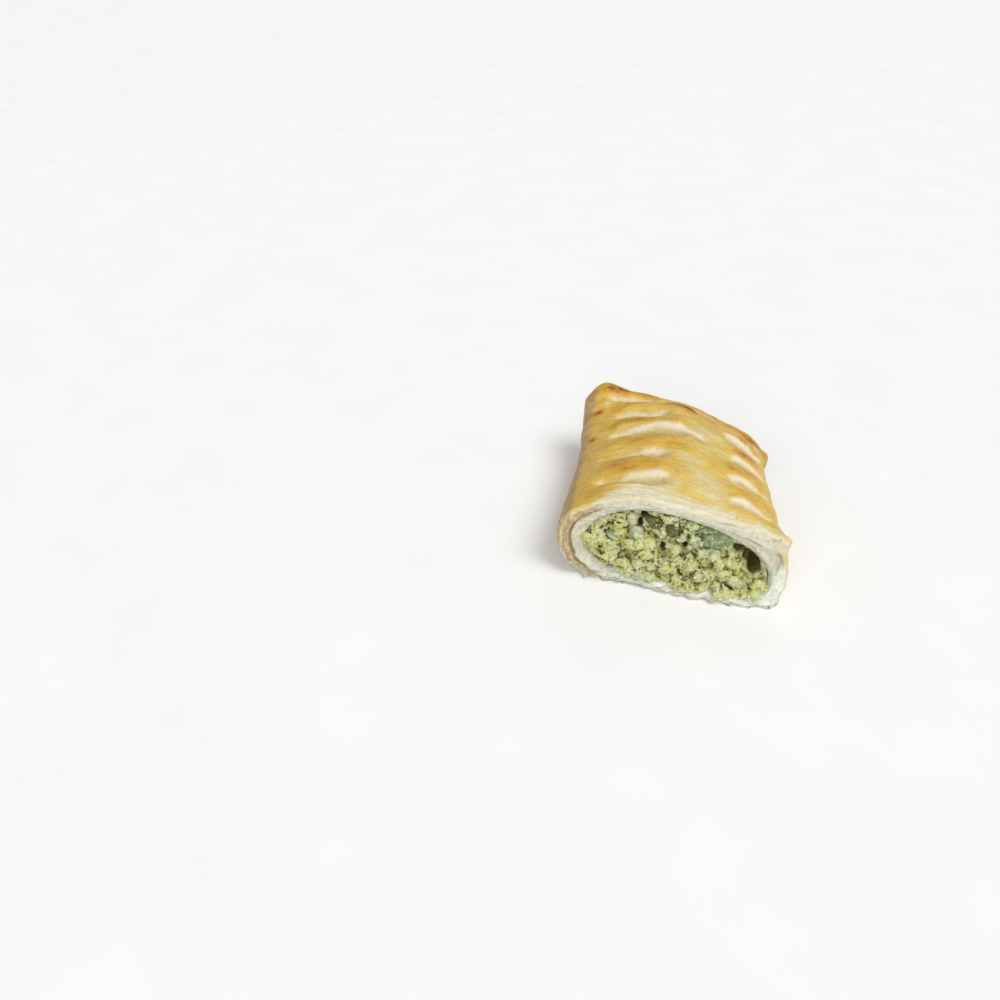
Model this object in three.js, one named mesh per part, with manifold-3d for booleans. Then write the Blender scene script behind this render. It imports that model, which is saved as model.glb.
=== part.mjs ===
// Half of a baked vegetable strudel: a puff pastry parcel cut across the middle, with a green filling.
// Millimetres, +Z up, resting on Z = 0. The cut faces -Y, the closed end +Y, and X runs across the cut.
import * as THREE from "three";
import { mergeVertices } from "three/addons/utils/BufferGeometryUtils.js";
import Module from "manifold-3d";

const wasm = await Module();
wasm.setup();

// ---- Driving dimensions ----

// The outside of the pastry at five places along the parcel, from the cut to the edge of the closed end.
const outside = {
  leftX: [-46.3, -45.2, -44.3, -45.8, -46.8],
  leftHeight: [18, 18.5, 19, 20, 24],
  leftSag: [1.3, 1.8, 2.2, 1.6, 0],
  crownX: [-15, -9, -5, -7, -18],
  crownHeight: [36.2, 38.4, 38.6, 37, 32.6],
  rightX: [39.3, 37.6, 35.3, 34.2, 35.2],
  rightHeight: [25.6, 19, 16, 14, 10.5],
  rightSag: [2.6, 1.8, 1.5, 2.2, 1.6],
  leftFoot: [17, 10, 7, 6, 6],
  rightFoot: [-0.4, 2, 3.5, 4, 4],
  floor: [0, 0, 0, 0, 0],
};

// The inside of the pastry at the same five places. The space ends before the closed end.
const inside = {
  leftX: [-35, -38.5, -38.5, -38.5, -37],
  leftHeight: [17, 18, 18, 18, 18],
  leftSag: [0.4, 1, 1.4, 1, 0],
  crownX: [-13, -8, -5, -8, -16],
  crownHeight: [30.4, 33, 33.2, 31.4, 26.5],
  rightX: [34.8, 33, 31, 29.6, 29.5],
  rightHeight: [9, 11, 11, 10, 8],
  rightSag: [1, 1, 1, 1.5, 2],
  leftFoot: [20, 14, 10, 9, 9],
  rightFoot: [6, 6, 6, 6, 6],
  floor: [3, 2.8, 2.8, 2.8, 3.4],
};

const cut = { footY: -46.1, lean: 0.2, bow: 5, bowX: 17, bowReach: 42, raggedness: 0.8 };
const endWall = { thickness: 7.5, centre: [-4, 13], ridge: 0.9, overhang: 1.6 };
const endTuck = { depth: 3.4, x: 1, reach: 9, height: 26 }; // where two folds of the closed end meet
// At the right of the cut the top sheet flares out, and the wall bulges below it.
const tip = { height: 25, flare: 1.1, reach: 3.5, length: 7 };
const cheek = { height: 11, bulge: 2.6, reach: 6.5, length: 6 };
const rowPitch = 18; // of these two, along the parcel
const ear = { x: -37.5, y: 45, rise: 6.2, reach: 9.5 }; // the back left corner stands up
const backLip = { y: 37, reach: 5.5, push: 2.2, height: 16 }; // a seam sticks out at the back right

// Slits cross the top in two columns. Each row of the surface follows one from the left to the right.
const slits = {
  leftY: [-27, -9.5, 7.5, 23, 36.5],
  rightY: [-31.5, -16.5, -1.5, 14.5, 28.5],
  endLeftY: 45.8,
  endRightY: 38.2,
  leftFrom: [-34.5, -36, -33, -32, -37],
  leftTo: [-5, -6, 0, -8, -14],
  rightFrom: [16, 15, 16, 14, 18],
  rightTo: [35, 34, 33, 33, 33],
  fade: 5, // each end of a slit runs out over this length
  depth: 2.9,
  nearHalfWidth: 1.1,
  farHalfWidth: 3.1,
  slatRise: 1,
  gapeX: [-14, -12, -5, -14, -20], // each slit of the left column gapes widest here
  gape: [3.2, 2.4, 1.8, 2.6, 1.8],
  gapeReach: 7,
};

const rim = { roundOver: [1.4, 0.4], swell: 1.2, seamDepth: 1.4, seamAt: 0.42 };
const gap = 0.35; // between pieces that touch

// The crumbs of the filling that show at the cut.
const crumbs = { spacing: 4.6, smallest: 2.3, largest: 3.5, setBack: 2.2, lowest: 4.4 };
const spill = { fromX: 3, toX: 29, y: -50, z: 3, count: 8 };
// Dark hollows between the crumbs: x and z on the cut, half widths, and how deep they go.
const hollows = [
  { x: 28.9, z: 13.4, wide: 3, high: 3.9, deep: 11 },
  { x: 26.6, z: 17.2, wide: 2.9, high: 2.6, deep: 9 },
  { x: 22.4, z: 19.4, wide: 2.7, high: 1.7, deep: 7 },
  { x: -14.3, z: 28, wide: 2.3, high: 1.9, deep: 9 },
  { x: -15.3, z: 24.6, wide: 1.3, high: 2, deep: 6 },
  { x: -5.3, z: 15.8, wide: 1.5, high: 2.2, deep: 6 },
  { x: 2.8, z: 17.7, wide: 1.5, high: 1.5, deep: 6 },
  { x: -16.4, z: 14.2, wide: 2.3, high: 1, deep: 4 },
  { x: -26.4, z: 22.8, wide: 2.8, high: 0.9, deep: 4 },
];
// Larger pieces in the filling: centre on the cut, half sizes across, along and up, and a turn.
const vegetables = [
  { x: 13.4, z: 21.6, half: [6.4, 4, 3.7], turn: -0.25, color: 0x97a278 },
  { x: 9.6, z: 25.6, half: [4.4, 3, 1.4], turn: -0.2, color: 0x8fa58c },
  { x: -9.9, z: 26.3, half: [3.9, 3, 2.4], turn: 0.5, color: 0x6e7a3e },
  { x: -2.2, z: 24, half: [3.6, 3, 2.6], turn: -0.3, color: 0x8e9b62 },
  { x: -18.4, z: 26.7, half: [2.6, 2.6, 2.2], turn: 0.3, color: 0xb4c3a0 },
  { x: -15.6, z: 20.6, half: [3.3, 2.8, 2.7], turn: 0.9, color: 0xb2c4a8 },
  { x: -24.8, z: 18.8, half: [3.3, 2.6, 1.9], turn: 0.35, color: 0xc3cdb2 },
  { x: 24.2, z: 7, half: [2.7, 2.4, 2.2], turn: 0.2, color: 0xc0ccaf },
];

const ringPoints = { leftTop: 15, rightTop: 17, rightWall: 7, foot: 8, leftWall: 8 };

// ---- Small helpers ----

function randomFrom(seed) {
  let state = seed;
  return () => {
    state = (state + 0x6d2b79f5) | 0;
    let t = Math.imul(state ^ (state >>> 15), 1 | state);
    t = (t + Math.imul(t ^ (t >>> 7), 61 | t)) ^ t;
    return ((t ^ (t >>> 14)) >>> 0) / 4294967296;
  };
}

const mix = (a, b, k) => a + (b - a) * k;

function smooth(low, high, value) {
  const k = Math.min(1, Math.max(0, (value - low) / (high - low)));
  return k * k * (3 - 2 * k);
}

const bump = (distance, reach) => Math.exp(-((distance / reach) ** 2));

// A smooth curve through evenly spaced values, read at k from 0 to 1.
function along(values, k) {
  const last = values.length - 1;
  const at = Math.min(1, Math.max(0, k)) * last;
  const i = Math.min(last - 1, Math.floor(at));
  const f = at - i;
  const slopeA = (values[i + 1] - values[Math.max(0, i - 1)]) / 2;
  const slopeB = (values[Math.min(last, i + 2)] - values[i]) / 2;
  return (
    values[i] * (2 * f ** 3 - 3 * f ** 2 + 1) +
    values[i + 1] * (3 * f ** 2 - 2 * f ** 3) +
    slopeA * (f ** 3 - 2 * f ** 2 + f) +
    slopeB * (f ** 3 - f ** 2)
  );
}

// Unevenness of hand-made dough: slow waves with no pattern that the eye can find.
function unevenness(x, y, z) {
  return (
    0.45 * Math.sin(0.19 * x + 0.13 * y + 1.3) * Math.sin(0.11 * x - 0.21 * y + 0.17 * z) +
    0.2 * Math.sin(0.31 * x - 0.23 * y + 0.21 * z + 2.1) * Math.cos(0.27 * y + 0.3 * z) +
    0.05 * Math.sin(0.71 * x + 0.53 * y - 0.61 * z + 0.4)
  );
}

// ---- The parcel's form ----

function station(table, k) {
  return Object.fromEntries(Object.entries(table).map(([name, values]) => [name, along(values, k)]));
}

// One closed section: over the top from the left edge to the right, then back underneath.
function section(size) {
  const points = [];
  const angle = (i, n) => ((i / n) * Math.PI) / 2;
  for (let i = 0; i < ringPoints.leftTop; i++) {
    const a = angle(i, ringPoints.leftTop);
    const x = size.crownX - (size.crownX - size.leftX) * Math.cos(a);
    const z = size.leftHeight + (size.crownHeight - size.leftHeight) * Math.sin(a);
    points.push([x, z - size.leftSag * Math.sin(2 * a)]);
  }
  for (let i = 0; i < ringPoints.rightTop; i++) {
    const a = angle(i, ringPoints.rightTop);
    const x = size.crownX + (size.rightX - size.crownX) * Math.sin(a);
    const z = size.rightHeight + (size.crownHeight - size.rightHeight) * Math.cos(a);
    points.push([x, z - size.rightSag * Math.sin(2 * a)]);
  }
  for (let i = 0; i < ringPoints.rightWall; i++) {
    const a = angle(i, ringPoints.rightWall);
    const x = size.rightX - size.rightFoot * (1 - Math.cos(a));
    points.push([x, mix(size.rightHeight, size.floor, Math.sin(a))]);
  }
  for (let i = 0; i < ringPoints.foot; i++) {
    const x = mix(size.rightX - size.rightFoot, size.leftX + size.leftFoot, i / ringPoints.foot);
    points.push([x, size.floor]);
  }
  for (let i = 0; i < ringPoints.leftWall; i++) {
    const a = angle(i, ringPoints.leftWall);
    const x = size.leftX + size.leftFoot * (1 - Math.sin(a));
    points.push([x, mix(size.floor, size.leftHeight, 1 - Math.cos(a))]);
  }
  return points;
}

// The cut leans back as it rises. Its foot bows forward and is a little ragged.
function cutPlaneY(x, z) {
  const low = 1 - smooth(0, 16, z);
  const across = Math.max(-1, Math.min(1, (x - cut.bowX) / cut.bowReach));
  const bow = cut.bow * Math.cos((across * Math.PI) / 2) ** 1.5;
  const ragged = cut.raggedness * (Math.sin(0.9 * x + 0.6) + Math.sin(1.7 * x + 2) * 0.6);
  return cut.footY + cut.lean * z - (bow + ragged) * low;
}

// The place along the parcel of row v. Row 0 is the cut, whole numbers are slits, and the last row is the
// edge of the closed end.
const lastRow = slits.leftY.length + 1;
function rowY(v, x, z) {
  const acrossTop = smooth(-8, 18, x);
  const marks = slits.leftY.map((left, i) => mix(left, slits.rightY[i], acrossTop));
  marks.unshift(cutPlaneY(x, z));
  const tuck = endTuck.depth * bump(x - endTuck.x, endTuck.reach) * (1 - smooth(4, endTuck.height, z));
  marks.push(mix(slits.endLeftY, slits.endRightY, smooth(-24, 36, x)) - tuck);
  const i = Math.min(lastRow - 1, Math.floor(v));
  return mix(marks[i], marks[i + 1], v - i);
}

// How far a point of the top rises or sinks: open slits, and slats that puff up between them.
function slitRelief(v, x) {
  const i = Math.min(slits.leftY.length, Math.max(1, Math.round(v))) - 1;
  const { fade } = slits;
  const span = (from, to) => smooth(from - 1, from + fade, x) * (1 - smooth(to - fade, to + 1, x));
  const left = span(slits.leftFrom[i], slits.leftTo[i]);
  const right = span(slits.rightFrom[i], slits.rightTo[i]);
  const away = rowY(v, x, 30) - rowY(i + 1, x, 30);
  const nearSide = slits.nearHalfWidth + slits.gape[i] * bump(x - slits.gapeX[i], slits.gapeReach);
  const open = bump(Math.abs(away), away < 0 ? nearSide : slits.farHalfWidth);
  const ends = smooth(0.2, 1, v) * (1 - smooth(5, 5.6, v));
  const slat = Math.sin(Math.PI * (v - Math.floor(v)) ** 1.2) ** 2 * ends;
  return Math.max(left, right) * (slits.slatRise * slat - slits.depth * open);
}

function outsidePoint(v, [x, z]) {
  const y = rowY(v, x, z);
  const wobble = unevenness(x, y, z) * smooth(0.5, 6, z);
  const corner = ear.rise * bump(x - ear.x, ear.reach) * bump(y - ear.y, ear.reach);
  const lift = smooth(10, 24, z) * (slitRelief(v, x) + corner) + wobble;
  const push = backLip.push * bump(y - backLip.y, backLip.reach) * smooth(20, 34, x);
  const atRight = smooth(30, 38, x);
  const flare = tip.flare * bump(z - tip.height, tip.reach) * bump(v * rowPitch, tip.length);
  const puff = cheek.bulge * bump(z - cheek.height, cheek.reach) * bump(v * rowPitch, cheek.length);
  const lip = push * (1 - smooth(backLip.height - 3, backLip.height, z));
  const side = lip + atRight * (flare + puff) + wobble * 0.6;
  return new THREE.Vector3(x + side, y, Math.max(0, z + lift));
}

function outsideRing(v, inset = 0) {
  const middle = [0, 15];
  return section(station(outside, v / lastRow)).map(([x, z]) => {
    const reach = Math.hypot(x - middle[0], z - middle[1]);
    const k = (reach - inset) / reach;
    const moved = [mix(middle[0], x, k), Math.max(0, mix(middle[1], z, k))];
    return outsidePoint(v, moved);
  });
}

// A ring of the inside. Depth 0 is the cut and 1 is the far wall of the space.
function insideRing(depth, grow, forward = 0) {
  const size = station(inside, depth);
  const ring = section({
    ...size,
    leftX: size.leftX - grow,
    rightX: size.rightX + grow,
    crownHeight: size.crownHeight + grow,
    floor: size.floor - grow,
  });
  return ring.map(([x, z]) => {
    const front = cutPlaneY(x, z) - forward;
    const back = rowY(lastRow, x, z) - endWall.thickness + grow;
    return new THREE.Vector3(x, mix(front, back, depth), z);
  });
}

// The closed end: a ridge along its top edge, and below it a wall of two lobes with a tuck between them.
function endRings(edge, grow) {
  const [middleX, middleZ] = endWall.centre;
  return [0.04, 0.1, 0.2, 0.38, 0.62, 0.84].map((k) =>
    edge.map((p) => {
      const x = mix(p.x, middleX, k);
      const z = mix(p.z, middleZ, k);
      const setBack = endWall.overhang * smooth(0.05, 0.25, k) * smooth(2, 10, z);
      const outward = endWall.ridge * smooth(0, 0.08, k) - setBack;
      return new THREE.Vector3(x, rowY(lastRow, x, z) + outward + grow, z);
    }),
  );
}

// The face of the cut, from the outer edge of the pastry to the inner edge. On the left a seam shows in it.
function faceRings(outer, inner, forward) {
  return [0.8, 0.62, 0.5, rim.seamAt, 0.34, 0.16].map((k) =>
    outer.map((p, i) => {
      const q = p.clone().lerp(inner[i], k);
      const onLeft = 1 - smooth(-37, -29, q.x);
      const seam = rim.seamDepth * onLeft * bump(k - rim.seamAt, 0.05);
      const swell = rim.swell * mix(0.3, 1, smooth(1, 9, q.z));
      q.y += seam - swell * Math.sin(Math.PI * k) ** 0.8 - forward;
      return q;
    }),
  );
}

// ---- Solids ----

function centreOf(ring) {
  const sum = new THREE.Vector3();
  ring.forEach((p) => sum.add(p));
  return sum.divideScalar(ring.length);
}

// A closed body from rings of the same count of points. Each end closes on the middle of its ring.
function loft(rings) {
  const count = rings[0].length;
  const points = rings.flat();
  const first = points.push(centreOf(rings[0])) - 1;
  const last = points.push(centreOf(rings[rings.length - 1])) - 1;
  const faces = [];
  for (let r = 0; r + 1 < rings.length; r++) {
    for (let i = 0; i < count; i++) {
      const a = r * count + i;
      const b = r * count + ((i + 1) % count);
      faces.push(a, b, b + count, a, b + count, a + count);
    }
  }
  const end = (rings.length - 1) * count;
  for (let i = 0; i < count; i++) {
    const j = (i + 1) % count;
    faces.push(first, j, i, last, end + i, end + j);
  }
  const geometry = new THREE.BufferGeometry().setFromPoints(points);
  geometry.setIndex(faces);
  return geometry;
}

function toSolid(geometry) {
  const bare = geometry.clone();
  bare.deleteAttribute("normal");
  bare.deleteAttribute("uv");
  const merged = mergeVertices(bare, 1e-4);
  return new wasm.Manifold(
    new wasm.Mesh({
      numProp: 3,
      vertProperties: merged.attributes.position.array,
      triVerts: new Uint32Array(merged.index.array),
    }),
  );
}

function toGeometry(solid) {
  const mesh = solid.getMesh();
  const positions = new Float32Array(mesh.numVert * 3);
  for (let i = 0; i < mesh.numVert; i++) {
    positions.set(mesh.vertProperties.subarray(i * mesh.numProp, i * mesh.numProp + 3), i * 3);
  }
  const geometry = new THREE.BufferGeometry();
  geometry.setAttribute("position", new THREE.BufferAttribute(positions, 3));
  geometry.setIndex(new THREE.BufferAttribute(mesh.triVerts, 1));
  geometry.computeVertexNormals();
  return geometry;
}

// An uneven rounded piece with few sides, grown all round by an allowance.
function lump(x, y, z, half, turn, detail, seed, grow = 0) {
  const random = randomFrom(seed);
  const geometry = mergeVertices(bareIcosahedron(detail), 1e-4);
  const position = geometry.attributes.position;
  const p = new THREE.Vector3();
  for (let i = 0; i < position.count; i++) {
    p.fromBufferAttribute(position, i).multiplyScalar(mix(0.84, 1.14, random()));
    p.set(p.x * (half[0] + grow), p.y * (half[1] + grow), p.z * (half[2] + grow));
    position.setXYZ(i, p.x, p.y, p.z);
  }
  geometry.rotateY(turn);
  geometry.translate(x, y, z);
  return toSolid(geometry);
}

function bareIcosahedron(detail) {
  const geometry = new THREE.IcosahedronGeometry(1, detail);
  geometry.deleteAttribute("normal");
  geometry.deleteAttribute("uv");
  return geometry;
}

// ---- Pastry ----

// The pastry, or with a clearance the room that it takes with a gap around it.
function makeCrust(clearance) {
  const aroundSlit = [-0.13, -0.05, 0, 0.07, 0.16, 0.28, 0.55];
  const rows = [0.07, 0.2, 0.42, 0.68];
  for (let slit = 1; slit < lastRow; slit++) {
    rows.push(...aroundSlit.map((step) => slit + step));
  }
  rows.push(lastRow - 0.2, lastRow);
  const sides = rows.map((v) => outsideRing(v, v === lastRow ? 0.9 : -clearance));
  const rounded = rim.roundOver.map((inset, i) => outsideRing(0.035 * i, inset - clearance));
  const innerEdge = insideRing(0, 0.8 - clearance, -0.3);
  const forward = (ring) => ring.map((p) => p.clone().setY(p.y - clearance));
  const inner = [1, 0.8, 0.55, 0.3, 0.12, 0.03].map((depth) => insideRing(depth, -clearance));
  return toSolid(
    loft([
      ...inner,
      forward(innerEdge),
      ...faceRings(rounded[0], innerEdge, clearance),
      forward(rounded[0]),
      ...rounded.slice(1),
      ...sides,
      ...endRings(sides[sides.length - 1], clearance),
    ]),
  );
}

// ---- Filling ----

// True where a spot of the cut lies inside the pastry's inner edge, at least a margin from it.
function insideCut(x, z, margin) {
  const ring = insideRing(0, -margin).map((p) => [p.x, p.z]);
  let within = false;
  for (let i = 0, j = ring.length - 1; i < ring.length; j = i++) {
    const [ax, az] = ring[i];
    const [bx, bz] = ring[j];
    if (az > z !== bz > z && x < ((bx - ax) * (z - az)) / (bz - az) + ax) {
      within = !within;
    }
  }
  return within;
}

const near = (item, x, z, wide, high, margin) =>
  ((x - item.x) / (wide + margin)) ** 2 + ((z - item.z) / (high + margin)) ** 2 < 1;

function crumbSpots() {
  const random = randomFrom(41);
  const spots = [];
  for (let row = 0; row < 7; row++) {
    for (let column = 0; column < 17; column++) {
      const shift = row % 2 ? 0.5 : 0;
      const x = -35 + (column + shift + (random() - 0.5) * 0.6) * crumbs.spacing;
      const z = crumbs.lowest + (row + (random() - 0.5) * 0.6) * crumbs.spacing * 0.92;
      const radius = mix(crumbs.smallest, crumbs.largest, random() ** 1.5);
      const out = mix(-2.2, 0.2, random());
      const open = hollows.some((h) => near(h, x, z, h.wide, h.high, radius * 0.7));
      const taken = vegetables.some((v) => near(v, x, z, v.half[0], v.half[2], 0.1));
      if (insideCut(x, z, 0.6) && !open && !taken) {
        spots.push({ x, y: cutPlaneY(x, z) - out, z, radius });
      }
    }
  }
  for (let i = 0; i < spill.count; i++) {
    const x = mix(spill.fromX, spill.toX, (i + random() * 0.7) / spill.count);
    const y = spill.y + random() * 2.4;
    const z = spill.z + random() * 1.2;
    spots.push({ x, y, z, radius: mix(1.5, 2.6, random()) });
  }
  return spots;
}

// The front of the filling's core, in rings that close in on its middle.
function faceOfFilling(edge) {
  const middle = centreOf(edge);
  return [0.8, 0.5, 0.25].map((k) =>
    edge.map((p) => {
      const x = mix(p.x, middle.x, k);
      const z = mix(p.z, middle.z, k);
      return new THREE.Vector3(x, cutPlaneY(x, z) + crumbs.setBack, z);
    }),
  );
}

function makeFilling(crustRoom, pockets) {
  const depths = [0, 0.1, 0.3, 0.55, 0.8, 1];
  const rings = depths.map((depth) => insideRing(depth, -gap * 1.4, depth === 0 ? -crumbs.setBack : 0));
  const core = toSolid(loft([...faceOfFilling(rings[0]), ...rings])).simplify(0.08);
  const lumps = crumbSpots().map((s, i) => {
    const half = [s.radius, s.radius * 1.15, s.radius * 0.92];
    return lump(s.x, s.y, s.z, half, i * 1.7, 0, 500 + i);
  });
  const openings = hollows.map((h, i) => {
    return lump(h.x, cutPlaneY(h.x, h.z) + 1, h.z, [h.wide, h.deep, h.high], 0, 1, 900 + i);
  });
  const heaped = wasm.Manifold.union([core, ...lumps]);
  const open = heaped.subtract(wasm.Manifold.union(openings));
  const fitted = open.subtract(crustRoom).subtract(wasm.Manifold.union(pockets));
  const above = fitted.trimByPlane([0, 0, 1], 0.6);
  return above.simplify(0.1).decompose().sort((a, b) => b.volume() - a.volume())[0];
}

// ---- Vegetable pieces ----

function makeVegetable(item, index, grow) {
  const y = cutPlaneY(item.x, item.z) + item.half[1] * 0.55;
  return lump(item.x, y, item.z, item.half, item.turn, 1, 70 + index, grow);
}

// ---- Assembly ----

function meshOf(name, solid, color, roughness) {
  const material = new THREE.MeshStandardMaterial({ color, roughness, metalness: 0 });
  const mesh = new THREE.Mesh(toGeometry(solid), material);
  mesh.name = name;
  return mesh;
}

const crustRoom = makeCrust(gap);
const pieces = [];
const pockets = [];
vegetables.forEach((item, index) => {
  const room = pockets.length ? wasm.Manifold.union([crustRoom, ...pockets]) : crustRoom;
  pieces.push(makeVegetable(item, index, 0).subtract(room).simplify(0.03));
  pockets.push(makeVegetable(item, index, gap));
});

const group = new THREE.Group();
group.add(meshOf("crust", makeCrust(0).simplify(0.04), 0xd9b156, 0.5));
group.add(meshOf("filling", makeFilling(crustRoom, pockets), 0x9fa260, 0.7));
pieces.forEach((solid, index) => {
  group.add(meshOf("vegetable_piece_" + (index + 1), solid, vegetables[index].color, 0.45));
});

const bounds = new THREE.Box3().setFromObject(group);
const middle = bounds.getCenter(new THREE.Vector3());
group.position.set(-middle.x, -middle.y, -bounds.min.z);

export default group;
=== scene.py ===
import math
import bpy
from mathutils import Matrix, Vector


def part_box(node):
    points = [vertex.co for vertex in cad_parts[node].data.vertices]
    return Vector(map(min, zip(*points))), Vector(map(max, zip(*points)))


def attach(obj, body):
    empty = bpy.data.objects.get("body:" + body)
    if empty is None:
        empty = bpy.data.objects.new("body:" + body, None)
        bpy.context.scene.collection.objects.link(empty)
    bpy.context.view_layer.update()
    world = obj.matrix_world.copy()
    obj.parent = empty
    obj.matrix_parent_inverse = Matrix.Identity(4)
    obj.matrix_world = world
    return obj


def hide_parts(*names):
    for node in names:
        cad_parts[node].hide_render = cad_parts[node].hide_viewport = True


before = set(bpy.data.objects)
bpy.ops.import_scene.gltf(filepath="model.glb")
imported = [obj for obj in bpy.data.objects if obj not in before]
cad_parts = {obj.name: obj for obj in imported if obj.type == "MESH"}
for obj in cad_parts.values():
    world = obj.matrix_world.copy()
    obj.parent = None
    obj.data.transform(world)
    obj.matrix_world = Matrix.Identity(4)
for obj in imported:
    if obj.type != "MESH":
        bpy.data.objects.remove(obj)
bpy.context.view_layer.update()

from types import SimpleNamespace

import bmesh
import bpy
import numpy as np
from mathutils import Vector

# Half of a vegetable strudel, cut across. Forms are worked out in millimetres in the parcel's own frame: X
# across the cut, Y from the cut to the closed end, Z up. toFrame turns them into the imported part's metres.
mm = 0.001
frameShift = np.array([2.644, 2.542, 0.0])

parcel = {
    # the outside at five places from the cut to the closed end
    "outside": {
        "leftX": (-46.3, -45.2, -44.3, -45.8, -46.8),
        "leftHeight": (18, 18.5, 19, 20, 24),
        "leftSag": (1.3, 1.8, 2.2, 1.6, 0),
        "crownX": (-15, -9, -5, -7, -18),
        "crownHeight": (36.2, 38.4, 38.6, 37, 32.6),
        "rightX": (39.3, 37.6, 35.3, 34.2, 35.2),
        "rightHeight": (25.6, 19, 16, 14, 10.5),
        "rightSag": (2.6, 1.8, 1.5, 2.2, 1.6),
        "leftFoot": (17, 10, 7, 6, 6),
        "rightFoot": (-0.4, 2, 3.5, 4, 4),
        "floor": (0, 0, 0, 0, 0),
    },
    # the space that the filling takes, at the same places
    "inside": {
        "leftX": (-35, -38.5, -38.5, -38.5, -37),
        "leftHeight": (17, 18, 18, 18, 18),
        "leftSag": (0.4, 1, 1.4, 1, 0),
        "crownX": (-13, -8, -5, -8, -16),
        "crownHeight": (30.4, 33, 33.2, 31.4, 26.5),
        "rightX": (34.8, 33, 31, 29.6, 29.5),
        "rightHeight": (9, 11, 11, 10, 8),
        "rightSag": (1, 1, 1, 1.5, 2),
        "leftFoot": (20, 14, 10, 9, 9),
        "rightFoot": (6, 6, 6, 6, 6),
        "floor": (3, 2.8, 2.8, 2.8, 3.4),
    },
    "middleHeight": 15,                     # the height that a section shrinks toward
    "shoulder": (10, 24),                   # between these heights a wall turns into the top, with its slits
    "acrossTop": (-8, 18), "acrossEnd": (-24, 36),       # where the left column's rows turn into the right's
    "rightEdge": (30, 38), "firstSlat": 18,              # mm across, and the length of a row at the cut
    "cutFootY": -46.1, "cutLean": 0.2, "cutBow": 5, "cutBowX": 17, "cutBowReach": 42, "cutBowHeight": 16,
    "cutRaggedness": 0.8,
    "wallThickness": 7.5, "wallCentre": (-4, 13), "wallRidge": 0.9, "wallOverhang": 1.6,
    "tuckDepth": 3.4, "tuckX": 1, "tuckReach": 9, "tuckHeight": 26,
    # at the cut's right edge: height, how far it stands out, and its reach up and along
    "tip": (25, 1.1, 3.5, 7), "cheek": (11, 2.6, 6.5, 6),
    "earX": -37.5, "earY": 45, "earRise": 6.2, "earReach": 9.5,
    "lipX": (20, 34), "lipY": 37, "lipReach": 5.5, "lipPush": 2.2, "lipHeight": 16,
}

slits = {
    "leftY": (-27, -9.5, 7.5, 23, 36.5),
    "rightY": (-31.5, -16.5, -1.5, 14.5, 28.5),
    "endLeftY": 45.8, "endRightY": 38.2,
    "leftFrom": (-34.5, -36, -33, -32, -37),
    "leftTo": (-5, -6, 0, -8, -14),
    "rightFrom": (16, 15, 16, 14, 18),
    "rightTo": (35, 34, 33, 33, 33),
    "fade": 5, "depth": 2.9, "nearHalfWidth": 1.1, "farHalfWidth": 3.1, "slatRise": 1,
    # each slit of the left column gapes widest here
    "gapeX": (-14, -12, -5, -14, -20), "gape": (3.2, 2.4, 1.8, 2.6, 1.8), "gapeReach": 7,
    # bare dough beyond each slit's line: where it is widest, how wide it is there, and over what length
    "leftBareX": (-12, -13, -10, -19, -22), "leftBare": (4.4, 2.9, 5.8, 2.9, 2.2),
    "leftBareReach": (11, 14, 19, 14, 11), "leftBareTo": (-5, -6, 8, -8, -14),
    "rightBareX": (22, 19, 19, 20, 25), "rightBare": (4.2, 4.1, 4.9, 5.6, 2.4),
    "rightBareReach": (13, 11, 10, 11, 8),
}
lastRow = len(slits["leftY"]) + 1


def say(text):
    print("strudel:", text, flush=True)


def smooth(low, high, value):
    k = np.clip((value - low) / (high - low), 0.0, 1.0)
    return k * k * (3 - 2 * k)


def mix(a, b, k):
    return a + (b - a) * k


def bump(distance, reach):
    return np.exp(-((distance / reach) ** 2))


# A smooth curve through evenly spaced values, read at k from 0 to 1.
def along(values, k):
    v = np.asarray(values, float)
    last = len(v) - 1
    at = np.clip(k, 0, 1) * last
    i = np.minimum(last - 1, np.floor(at).astype(int))
    f = at - i
    slopeA = (v[i + 1] - v[np.maximum(0, i - 1)]) / 2
    slopeB = (v[np.minimum(last, i + 2)] - v[i]) / 2
    return (v[i] * (2 * f ** 3 - 3 * f ** 2 + 1) + v[i + 1] * (3 * f ** 2 - 2 * f ** 3)
            + slopeA * (f ** 3 - 2 * f ** 2 + f) + slopeB * (f ** 3 - f ** 2))


# Smooth random values from -1 to 1 over points, one for each corner of a lattice of cells.
def noise(points, cell, seed=0):
    q = points / np.asarray(cell, float)
    i = np.floor(q).astype(np.int64)
    f = q - i
    f = f * f * (3 - 2 * f)
    total = np.zeros(points.shape[:-1])
    for corner in np.ndindex(2, 2, 2):
        n = (i + corner) * (73856093, 19349663, 83492791)            # large primes, to scramble the numbers
        n = (n[..., 0] ^ n[..., 1] ^ n[..., 2] ^ (seed * 2654435)) & 0x7FFFFFFF
        for shift, prime in ((13, 1274126177), (16, 668265263)):
            n = ((n ^ (n >> shift)) * prime) & 0x7FFFFFFF
        value = (n ^ (n >> 15)) % 100003 / 50001.5 - 1
        near = np.where(corner, f, 1 - f)
        total += value * (near[..., 0] * near[..., 1] * near[..., 2])
    return total


# What makes the parcel uneven as a whole, in mm: waves about 30, 20 and 10 mm long.
def unevenness(x, y, z):
    return (0.45 * np.sin(0.19 * x + 0.13 * y + 1.3) * np.sin(0.11 * x - 0.21 * y + 0.17 * z)
            + 0.2 * np.sin(0.31 * x - 0.23 * y + 0.21 * z + 2.1) * np.cos(0.27 * y + 0.3 * z)
            + 0.05 * np.sin(0.71 * x + 0.53 * y - 0.61 * z + 0.4))


def station(table, k):
    return {name: along(values, np.asarray(k, float))[..., None] for name, values in table.items()}


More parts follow.
